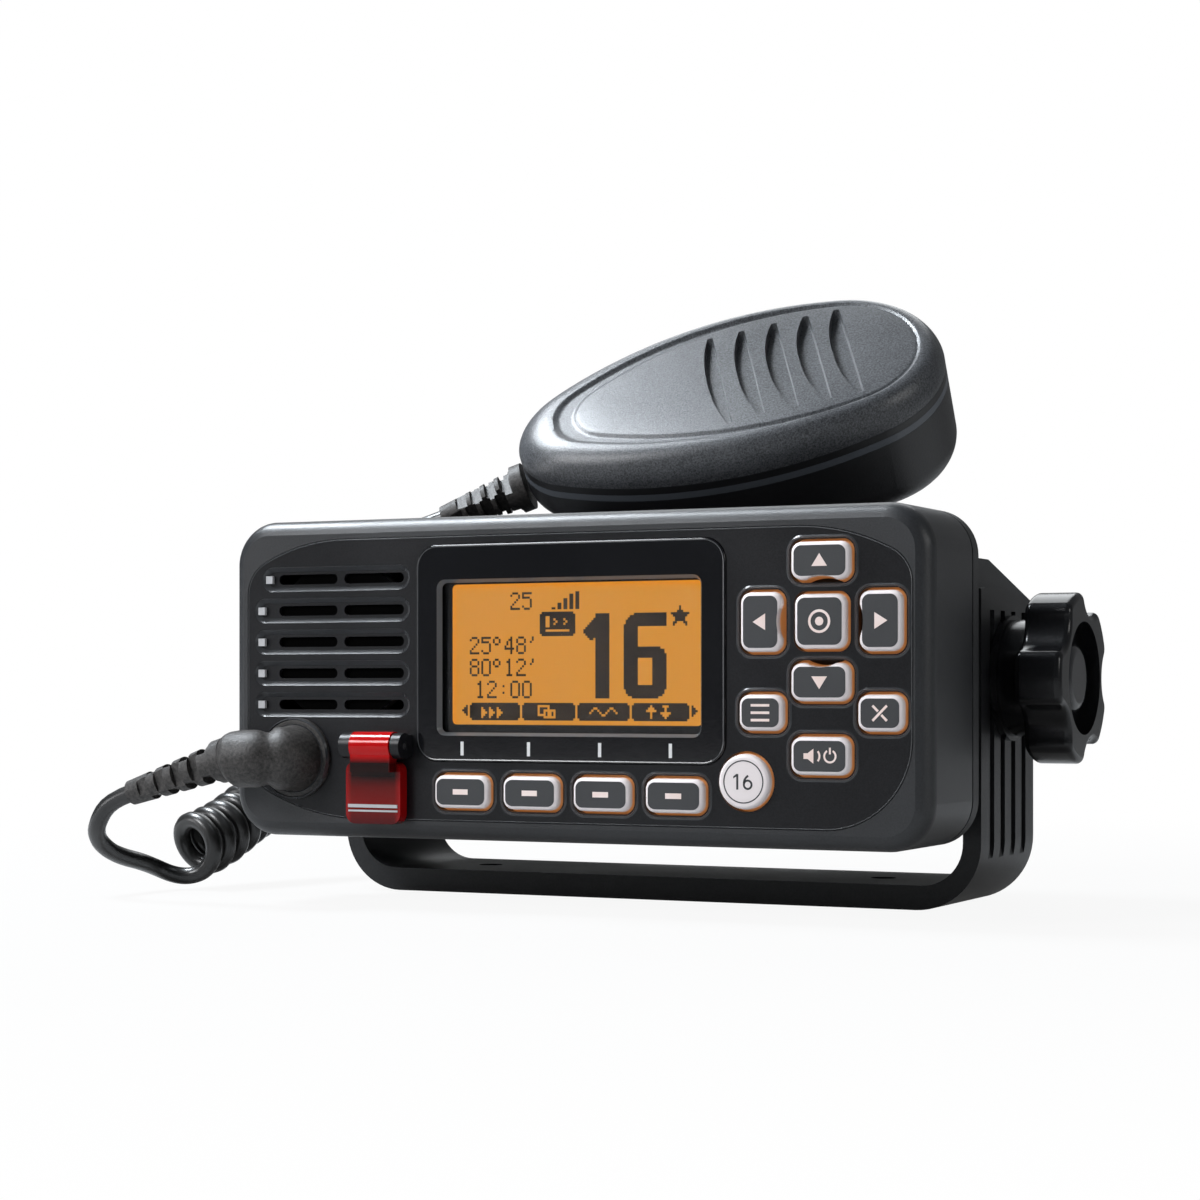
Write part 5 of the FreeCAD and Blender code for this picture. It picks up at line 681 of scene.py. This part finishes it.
def shell_height(x, y):
    """The height of the shell's face: shoulder, ridge, channel and dome, all sagging to the ends."""
    outer, ridge, inner = (egg_depth(arcs, x, y) for arcs in (OUTLINE, RIDGE, FACE_EDGE))
    sag = 1 - 0.00006 * (x + 18) ** 2
    if ridge <= 0:
        share = max(0.0, outer) / (max(0.0, outer) - ridge + 1e-6)
        return (RIM_HEIGHT + SHOULDER_RISE * (1 - (1 - share) ** 2.2) ** 0.6) * sag
    if inner <= 0:
        outward, inward = min(1.0, ridge / 1.4), min(1.0, -inner / 1.1)
        lowest = (3 - 2 * outward) * outward ** 2 * CHANNEL_DEPTH
        return (RIDGE_HEIGHT - lowest + (lowest - 0.25) * (1 - inward) ** 2) * sag
    return (FACE_HEIGHT + FACE_DOME * (1 - math.exp(-inner / 5))) * sag


# Each column of vertices has its X in the middle, its X beyond a groove's ends, and how deep it sinks.
columns = []
first_left, last_right = SOUND_GROOVES[0][0], SOUND_GROOVES[-1][1]
for part in range(TAIL_COLUMNS):
    x = TAIL_END + (first_left - TAIL_END) * (1 - math.cos(math.pi / 2 * part / TAIL_COLUMNS))
    columns.append((x, x, 0.0))
for index, (left, right) in enumerate(SOUND_GROOVES):
    blunt = right - 1.5
    if index:
        before = SOUND_GROOVES[index - 1][1]
        shares = [part / BETWEEN_COLUMNS for part in range(1, BETWEEN_COLUMNS)]
        columns += [(before + (left - before) * share, before + (blunt - before) * share, 0.0)
                    for share in shares]
    columns += [(left, blunt, 0.0), (left + 0.08, blunt + 0.05, 1.0),
                ((left + right) / 2, (blunt + right) / 2, 1.0),
                (right - 0.3, right - 0.3, 1.0), (right, right, 0.0)]
for part in range(1, HEAD_COLUMNS + 1):
    x = last_right + (HEAD_END - last_right) * math.sin(math.pi / 2 * part / HEAD_COLUMNS)
    columns.append((x, x, 0.0))
shell_builder = bmesh.new()
rings = []
for x_middle, x_end, sunk in columns:
    ring = []
    for step in range(2 * HALF_ROWS + 1):
        share = math.sin(math.pi / 2 * (step / HALF_ROWS - 1))
        x = x_middle
        # X moves with Y at a groove's ends, and Y with the width at X: four rounds settle both.
        for again in range(4):
            y = share * half_width(x)
            lens = min(1.0, (y / GROOVE_REACH) ** 2) ** 1.2
            x = x_middle + (x_end - x_middle) * lens
        lower = GROOVE_DEPTH * sunk * (1 - min(1.0, abs(y / GROOVE_REACH)) ** 10) ** 0.5
        spot = Vector((x, y, shell_height(x, y) - lower)) * MM
        ring.append(shell_builder.verts.new(MIC_PLACE @ spot))
    for y in (half_width(x), -half_width(x)):
        ring.append(shell_builder.verts.new(MIC_PLACE @ (Vector((x, y, SHELL_FOOT)) * MM)))
    rings.append(ring)
cover(shell_builder, rings)
shell = new_piece("mic_face_shell", shell_builder, mic_plastic, "microphone")
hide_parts("mic_front_shell")

# ---------------------------------------------------------------- distress cover
# A flap moulded in clear deep red, on a steel pin. Its colour is painted by height and width:
# nearly black where the unlit key lies behind it (painted shade), brighter red in its edges and its
# knuckle (painted glow). Two pale bars on its ridge, to lift it by, are painted highlights.
COVER_ACROSS = -49.4
COVER_FOOT, COVER_TALL = 20.6, 22.7
flap_red, flap_shader, nodes = new_material("flap_red", 0.12, Specular_IOR_Level=0.25)
across, _, height = nodes.axes()
off_middle = nodes.maths("ABSOLUTE", across - COVER_ACROSS * MM)
# Brighter red towards the side edges, and by height red low down, nearly black higher up and bright red
# in the knuckle: painted glow and painted shade.
rim_glow = off_middle.passage(6.1 * MM, 7.4 * MM)
tone = ((height - COVER_FOOT * MM) * (1 / (COVER_TALL * MM))).colours(
    (0.0, (0.06, 0.0, 0.001)), (0.22, (0.16, 0.002, 0.001)), (0.4, (0.1, 0.002, 0.001)),
    (0.52, (0.012, 0.0015, 0.001)), (0.66, (0.008, 0.001, 0.001)), (0.74, (0.42, 0.003, 0.004)))
edge = nodes.make("Mix", {"data_type": "RGBA"},
                  {"Factor": rim_glow * 0.7, "A": tone, "B": (0.3, 0.002, 0.003, 1)}, output=2)
feed(flap_shader, Base_Color=edge, Roughness=nodes.mottle(300.0, Detail=2.0) * 0.1 + 0.06)
dress(flap_red, "distress_cover")
dress(steel, "distress_hinge_pin")
dress(moulded("distress_red", (0.25, 0.01, 0.008), (0.35, 0.015, 0.01), 0.4, 0.8, 0.1), "distress_key")
# Two pale bars across the flap's ridge: painted highlights.
ridge_builder = bmesh.new()
for z, tall, out in ((25.0, 0.8, 0.5), (23.8, 0.45, 0.3)):
    block(ridge_builder, (COVER_ACROSS, FACE - 3.5, z), (14.0, out, tall))
ridge = new_piece("flap_ridge_highlight", ridge_builder, pale_highlight_plastic, "distress_cover", smooth=False)

# ---------------------------------------------------------------- display
# A backlit amber dot-matrix glass behind a clear lens, in a glossy black frame with four white
# marks. The dots are 0.533 mm wide; they show a channel number, a position and a time in plain
# figures, and plain signs.
FRAME_FACE = -70.6
MARKS_ACROSS = (-26.0, -7.8, 11.2, 29.6)
LCD_LEFT, LCD_RIGHT = -30.2, 36.4
LCD_LOW, LCD_HIGH = 45.1, 79.2
GLASS_LEVEL = -67.62
DOT = 0.533
DOT_GAP, GAP_PALER = 0.14, 0.04
DOT_COLUMNS, DOT_ROWS = 123, 64
DARK_EDGE = 2.6
SMALL_FIGURES = {
    "0": ".###. #...# #...# #...# #...# #...# #...# .###.",
    "1": "..#.. .##.. ..#.. ..#.. ..#.. ..#.. ..#.. .###.",
    "2": ".###. #...# ....# ...#. ..#.. .#... #.... #####",
    "4": "...#. ..##. .#.#. .#.#. #..#. ##### ...#. ...#.",
    "5": "##### #.... ####. ....# ....# ....# #...# .###.",
    "8": ".###. #...# #...# .###. #...# #...# #...# .###.",
    ":": "..... ..... ..#.. ..... ..... ..#.. ..... .....",
    "o": ".##.. #..#. #..#. .##.. ..... ..... ..... .....",
    "'": "..#.. ..#.. .#... ..... ..... ..... ..... .....",
}
TEXTS = (("25", 29, 4), ("25o48'", 8, 24), ("80o12'", 8, 34), ("12:00", 11, 44))
ONE = ["......#######"] * 2 + [
    ".....########", "....#########", "...##########", "..###########", ".############", "#############",
    "#############", ".############", "..###########", "...##.#######"] + ["......#######"] * 26
SIX = [".....################", "...##################", "..###################"]
SIX += [".####################"] * 2 + ["#####################"] + ["#######.............."] * 9
SIX += ["##################...", "####################.", "####################."]
SIX += ["#####################"] * 2 + ["#######.......#######"] * 12 + ["#####################"] * 2
SIX += [".###################."] * 2 + ["..#################..", "....#############...."]
BARS = ["............##", ".........##.##", ".........##.##", "......##.##.##", "......##.##.##",
        "...##.##.##.##", "...##.##.##.##", "##.##.##.##.##"]
STAR = ["....#....", "....#....", "...###...", "#########", ".#######.", "..#####..", "..#####..",
        ".##...##.", ".#.....#."]
BLOCK_SIGN = ["##..........", "##..#....#..", "##...#....#.", "##..#....#..", "##..........",
              "............", "############"]
FOOT_BLOCKS = ((8, 33), (35, 61), (63, 88), (90, 117))
FOOT_SIGNS = (
    (14, 56, ["#...#...#....", "##..##..##...", "###.###.###..", "##..##..##...", "#...#...#...."]),
    (43, 55, ["######.....", "#....#.....", "#..######..", "#..#.##.#..", "####.##.#..", "...######.."]),
    (69, 56, ["..##......##..", ".#..#....#..#.", "#....#..#....#", "......##......"]),
    (97, 55, ["..#.....###..", ".###.....#...", "#####....#...", "..#....#####.", "..#.....###..",
              "..#......#..."]),
)
LEFT_ARROW = ["..#", ".##", "###", ".##", "..#"]
RIGHT_ARROW = ["#..", "##.", "###", "##.", "#.."]
lit = set()
dress(moulded("display_gloss", (0.002, 0.002, 0.0025), (0.006, 0.006, 0.0075), 0.12, 2.5, 0.02, 0.1,
              Coat_Weight=0.3, Specular_IOR_Level=0.35), "display_frame")
# Lighter plastic for the window's chamfer: its colour is a painted highlight.
bevel_highlight_plastic = moulded("bevel_highlight_plastic", (0.09, 0.095, 0.1), (0.14, 0.145, 0.15), 0.22, 0.8, 0.03, 0.2)
mark_ink = moulded("mark_ink", (0.6, 0.6, 0.6), (0.75, 0.75, 0.75), 0.5, 1.0, 0.02, 0.2)
# A bead round the frame's outer edge, lighter than the frame: a painted highlight.
frame_edge = max(rim_loops("display_frame", FRAME_FACE), key=width_of)
edge_section = ((0.1, FACE + 0.05), (-0.05, FRAME_FACE - 0.06), (-0.35, FRAME_FACE + 0.02))
ring_piece("frame_highlight", frame_edge, edge_section, lip_highlight_plastic)
# The window's chamfer, lighter than the frame: a painted highlight.
window = round_box(2.2, 61.4, 70.6, 38.0, 2.2)
bevel_section = ((0.0, FRAME_FACE - 0.02), (-0.8, FRAME_FACE + 1.4), (0.0, FRAME_FACE + 1.6))
ring_piece("window_bevel", window, bevel_section, bevel_highlight_plastic)
mark_builder = bmesh.new()
for mark_x in MARKS_ACROSS:
    block(mark_builder, (mark_x, FRAME_FACE - 0.02, 39.3), (0.83, 0.06, 3.35))
new_piece("window_marks", mark_builder, mark_ink, "radio", smooth=False)


def light_rows(column, row, rows, clear=False):
    """Turns dots on, or off on a dark block, from rows of # signs."""
    for down, line in enumerate(rows):
        for along, mark in enumerate(line):
            if mark == "#":
                (lit.discard if clear else lit.add)((column + along, row + down))


def light_block(left, top, right, bottom):
    """A dark block with its corner dots left out."""
    for column in range(left, right + 1):
        for row in range(top, bottom + 1):
            if not (column in (left, right) and row in (top, bottom)):
                lit.add((column, row))


for text, column, row in TEXTS:
    for place_in_text, figure in enumerate(text):
        light_rows(column + 6 * place_in_text, row, SMALL_FIGURES[figure].split())
light_rows(50, 4, BARS)
light_block(44, 13, 61, 23)
light_rows(47, 15, BLOCK_SIGN, clear=True)
light_rows(66, 14, ONE)
light_rows(86, 14, SIX)
light_rows(109, 11, STAR)
for left, right in FOOT_BLOCKS:
    light_block(left, 54, right, 61)
for column, row, sign_rows in FOOT_SIGNS:
    light_rows(column, row, sign_rows, clear=True)
light_rows(4, 55, LEFT_ARROW)
light_rows(119, 55, RIGHT_ARROW)


def stand_behind_lens(builder, level):
    """Turns a flat grid upright and moves it to the middle of the glass, at a level of Y."""
    bmesh.ops.rotate(builder, verts=builder.verts, matrix=Matrix.Rotation(math.radians(90), 3, "X"))
    bmesh.ops.translate(builder, verts=builder.verts, vec=(
        (LCD_LEFT + LCD_RIGHT) / 2 * MM, level * MM, (LCD_LOW + LCD_HIGH) / 2 * MM))


screen_builder = bmesh.new()
bmesh.ops.create_grid(screen_builder, x_segments=1, y_segments=1, size=0.5)
bmesh.ops.scale(screen_builder, verts=screen_builder.verts,
                vec=((LCD_RIGHT - LCD_LEFT) * MM, (LCD_HIGH - LCD_LOW) * MM, 1))
bmesh.ops.bevel(screen_builder, geom=screen_builder.verts, offset=1.1 * MM, offset_type="OFFSET",
                affect="VERTICES", segments=5, profile=0.5, material=-1)
stand_behind_lens(screen_builder, GLASS_LEVEL)
amber, amber_shader, nodes = new_material("amber_backlight", 0.5, Emission_Strength=1.0)
across, _, height = nodes.axes()
from_left = (across - LCD_LEFT * MM) * (1 / MM)
from_top = (LCD_HIGH * MM - height) * (1 / MM)
column_gap = nodes.maths("FRACT", from_left * (1 / DOT)) < DOT_GAP
row_gap = nodes.maths("FRACT", from_top * (1 / DOT)) < DOT_GAP
edge = nodes.maths("MAXIMUM", from_left.passage(0.0, DARK_EDGE, 1.0, 0.0, "SMOOTHSTEP"),
                   from_top.passage(0.0, DARK_EDGE, 1.0, 0.0, "SMOOTHSTEP"))
glow = edge.colours((0.0, (0.6, 0.24, 0.01)), (0.55, (0.63, 0.235, 0.002)), (1.0, (0.72, 0.24, 0.0)))
gaps = nodes.maths("MAXIMUM", column_gap, row_gap) * GAP_PALER
paler = nodes.make("Mix", {"data_type": "RGBA"}, {"Factor": gaps, "A": glow, "B": (0.9, 0.62, 0.3, 1)},
                   output=2)
feed(amber_shader, Base_Color=(0.02, 0.012, 0.004, 1), Emission_Color=paler)
screen = new_piece("lcd_screen", screen_builder, amber, "radio", smooth=False)

dots_builder = bmesh.new()
bmesh.ops.create_grid(dots_builder, x_segments=DOT_COLUMNS, y_segments=DOT_ROWS, size=0.5)
bmesh.ops.scale(dots_builder, verts=dots_builder.verts,
                vec=(DOT_COLUMNS * DOT * MM, DOT_ROWS * DOT * MM, 1))
clear_faces = []
for face in dots_builder.faces:
    spot = face.calc_center_median() / (DOT * MM)
    if (math.floor(spot.x + DOT_COLUMNS / 2), math.floor(DOT_ROWS / 2 - spot.y)) not in lit:
        clear_faces.append(face)
bmesh.ops.delete(dots_builder, geom=clear_faces, context="FACES")
stand_behind_lens(dots_builder, GLASS_LEVEL - 0.015)
dot_ink, dot_shader, nodes = new_material("dot_ink", 0.6)
uneven = nodes.mottle(160.0)
feed(dot_shader, Base_Color=uneven.colours((0.3, (0.012, 0.006, 0.002)), (0.7, (0.026, 0.013, 0.004))))
dots = new_piece("lcd_dots", dots_builder, dot_ink, "radio", smooth=False)
dress(moulded("lcd_surround", (0.004, 0.004, 0.005), (0.008, 0.008, 0.01), 0.25, 2.0, 0.02), "lcd_module")

lens_glass, lens_shader, nodes = new_material("lens_glass", 0.02, Transmission_Weight=1.0, IOR=1.2)
smears = nodes.mottle(45.0, Detail=3.0)
feed(lens_shader, Base_Color=(0.98, 0.98, 0.98, 1), Roughness=smears * 0.02 + 0.002)
dress(lens_glass, "display_lens")

# ---------------------------------------------------------------- keys
# Translucent silicone keys, lit from behind, that taper towards the front. Each has a charcoal
# cap moulded into its face, with a plain sign in the silicone's own colour; the round key has
# only dark figures and a ring. One rubber mat behind the panel carries them.
KEY_TAPER, ROUND_KEY_TAPER = 0.7 * MM, 0.09
KEY_ROOT = 0.1 * MM
CAP_RISE, SIGN_RISE = 0.12 * MM, 0.04 * MM
silicone, silicone_shader, nodes = new_material("lit_silicone", 0.38, Emission_Strength=1.0)
_, depth, _ = nodes.axes()
# Towards the panel its colour turns orange and it glows: the backlight's glow, painted into the colour
# and also given as emission.
sunk = depth.passage(-71.9 * MM, -70.0 * MM)
feed(
    silicone_shader,
    Base_Color=sunk.colours((0.3, (0.78, 0.72, 0.72)), (0.85, (0.76, 0.6, 0.54)),
                            (1.0, (0.75, 0.33, 0.13))),
    Emission_Color=sunk.colours((0.3, (0.0, 0.0, 0.0)), (0.85, (0.02, 0.01, 0.006)),
                                (1.0, (0.2, 0.07, 0.02))),
    Roughness=nodes.mottle(120.0, Detail=2.0) * 0.2 + 0.28,
)
dress(seal_rubber, "keypad_rubber")
cap_plastic = moulded("key_cap_plastic", (0.02, 0.021, 0.023), (0.036, 0.038, 0.041), 0.5, 0.5, 0.15, 0.4)
sign_ink, sign_shader, nodes = new_material("sign_ink", 0.45, Emission_Strength=1.0)
feed(sign_shader,
     Base_Color=nodes.mottle(200.0).colours((0.3, (0.74, 0.6, 0.55)), (0.7, (0.8, 0.7, 0.67))),
     Emission_Color=(0.06, 0.03, 0.02, 1))


def tapered(node, slope=None):
    """A key's solid, merged and narrowed towards its front, with its middle and its front's Y."""
    low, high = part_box(node)
    middle = (low + high) / 2
    builder = copy_of(node)
    proud = [vertex.co for vertex in builder.verts if vertex.co.y < FACE * MM]
    slope_x = slope or KEY_TAPER / (max(spot.x for spot in proud) - middle.x)
    slope_z = slope or KEY_TAPER / (max(spot.z for spot in proud) - middle.z)
    for spot in proud:
        if spot.y < FACE * MM - KEY_ROOT:
            share = (FACE * MM - spot.y) / (FACE * MM - low.y)
            spot.x = middle.x + (spot.x - middle.x) * (1 - share * slope_x)
            spot.z = middle.z + (spot.z - middle.z) * (1 - share * slope_z)
    return builder, middle, low.y


def raise_faces(builder, faces, rise):
    """Lifts flat faces towards the front, with walls round them."""
    raised = bmesh.ops.extrude_face_region(builder, geom=faces)
    lifted = [item for item in raised["geom"] if isinstance(item, bmesh.types.BMVert)]
    bmesh.ops.translate(builder, verts=lifted, vec=(0, -rise, 0))


def lit_key(node, builder):
    """The silicone part of a key, in place of its solid."""
    key = new_piece(node + "_lit", builder, silicone, node)
    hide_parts(node)


def key_cap(node, builder, front):
    """The charcoal cap in a key's face."""
    behind = [face for face in builder.faces
              if max(vertex.co.y for vertex in face.verts) > front + 0.01 * MM]
    bmesh.ops.delete(builder, geom=behind, context="FACES")
    bmesh.ops.dissolve_limit(builder, angle_limit=0.02, verts=builder.verts, edges=builder.edges)
    raise_faces(builder, builder.faces[:], CAP_RISE)
    bmesh.ops.recalc_face_normals(builder, faces=builder.faces)
    new_piece(node + "_cap", builder, cap_plastic, node)


def sign(name, shapes, middle, level, material, body):
    """Flat raised signs from outlines of X, Z points in millimetres about a middle."""
    builder = bmesh.new()
    for shape in shapes:
        corners = [builder.verts.new((x * MM + middle.x, level, z * MM + middle.z)) for x, z in shape]
        raise_faces(builder, [builder.faces.new(corners)], SIGN_RISE)
    bmesh.ops.recalc_face_normals(builder, faces=builder.faces)
    return new_piece(name, builder, material, body, smooth=False)


def box_sign(x, z, wide, tall):
    left, right, low, high = x - wide / 2, x + wide / 2, z - tall / 2, z + tall / 2
    return [(left, low), (right, low), (right, high), (left, high)]


def ring_signs(x, z, outer, inner, first=0, last=360, parts=24):
    """A ring, or a part of one, as a row of four-cornered plates."""
    plates = []
    for part in range(parts):
        a = math.radians(first + (last - first) * part / parts)
        b = math.radians(first + (last - first) * (part + 1) / parts)
        corners = ((inner, a), (outer, a), (outer, b), (inner, b))
        plates.append([(x + radius * math.cos(turn), z + radius * math.sin(turn))
                       for radius, turn in corners])
    return plates


KEY_SIGNS = {
    "soft_key_1": [box_sign(0, 0, 4.1, 1.3)],
    "soft_key_2": [box_sign(0, 0, 4.1, 1.3)],
    "soft_key_3": [box_sign(0, 0, 4.1, 1.3)],
    "soft_key_4": [box_sign(0, 0, 4.1, 1.3)],
    "channel_up_key": [[(-1.9, -1.3), (1.9, -1.3), (0, 1.6)]],
    "channel_down_key": [[(-1.9, 1.3), (0, -1.6), (1.9, 1.3)]],
    "left_key": [[(-1.8, 0), (1.3, -1.9), (1.3, 1.9)]],
    "right_key": [[(1.8, 0), (-1.3, 1.9), (-1.3, -1.9)]],
    "enter_key": ring_signs(0, 0, 2.7, 2.1) + ring_signs(0, 0, 1.0, 0.02),
    "menu_key": [box_sign(0, 1.7, 4.6, 0.6), box_sign(0, 0, 4.6, 0.6), box_sign(0, -1.7, 4.6, 0.6)],
    "clear_key": [[(-1.9, -1.5), (-1.5, -1.9), (1.9, 1.5), (1.5, 1.9)],
                  [(-1.9, 1.5), (-1.5, 1.9), (-0.2, 0.6), (-0.6, 0.2)],
                  [(0.2, -0.6), (1.5, -1.9), (1.9, -1.5), (0.6, -0.2)]],
    "volume_key": [box_sign(-3.3, 0, 1.0, 1.3), [(-2.8, -0.65), (-1.4, -1.7), (-1.4, 1.7), (-2.8, 0.65)]]
                  + ring_signs(-1.6, 0, 1.9, 1.45, -42, 42, 8)
                  + ring_signs(2.6, 0, 1.6, 1.15, -240, 60, 18) + [box_sign(2.6, 1.2, 0.45, 1.5)],
}
for node, shapes in KEY_SIGNS.items():
    builder, middle, front = tapered(node)
    cap_builder = builder.copy()
    lit_key(node, builder)
    key_cap(node, cap_builder, front)
    sign(node + "_sign", shapes, middle, front - CAP_RISE, sign_ink, node)

SIXTEEN = (
    ring_signs(0, 0, 5.0, 4.72, parts=48)
    + [box_sign(-1.5, 0, 0.5, 3.6), [(-1.75, 1.8), (-2.5, 1.2), (-2.5, 0.75), (-1.75, 1.2)]]
    + ring_signs(1.1, -0.65, 1.2, 0.72)
    + ring_signs(2.2, -0.4, 2.3, 1.82, 118, 178, 8)
)
builder, middle, front = tapered("channel_16_key", ROUND_KEY_TAPER)
lit_key("channel_16_key", builder)
figures = sign("channel_16_figures", SIXTEEN, middle, front, cap_plastic, "channel_16_key")
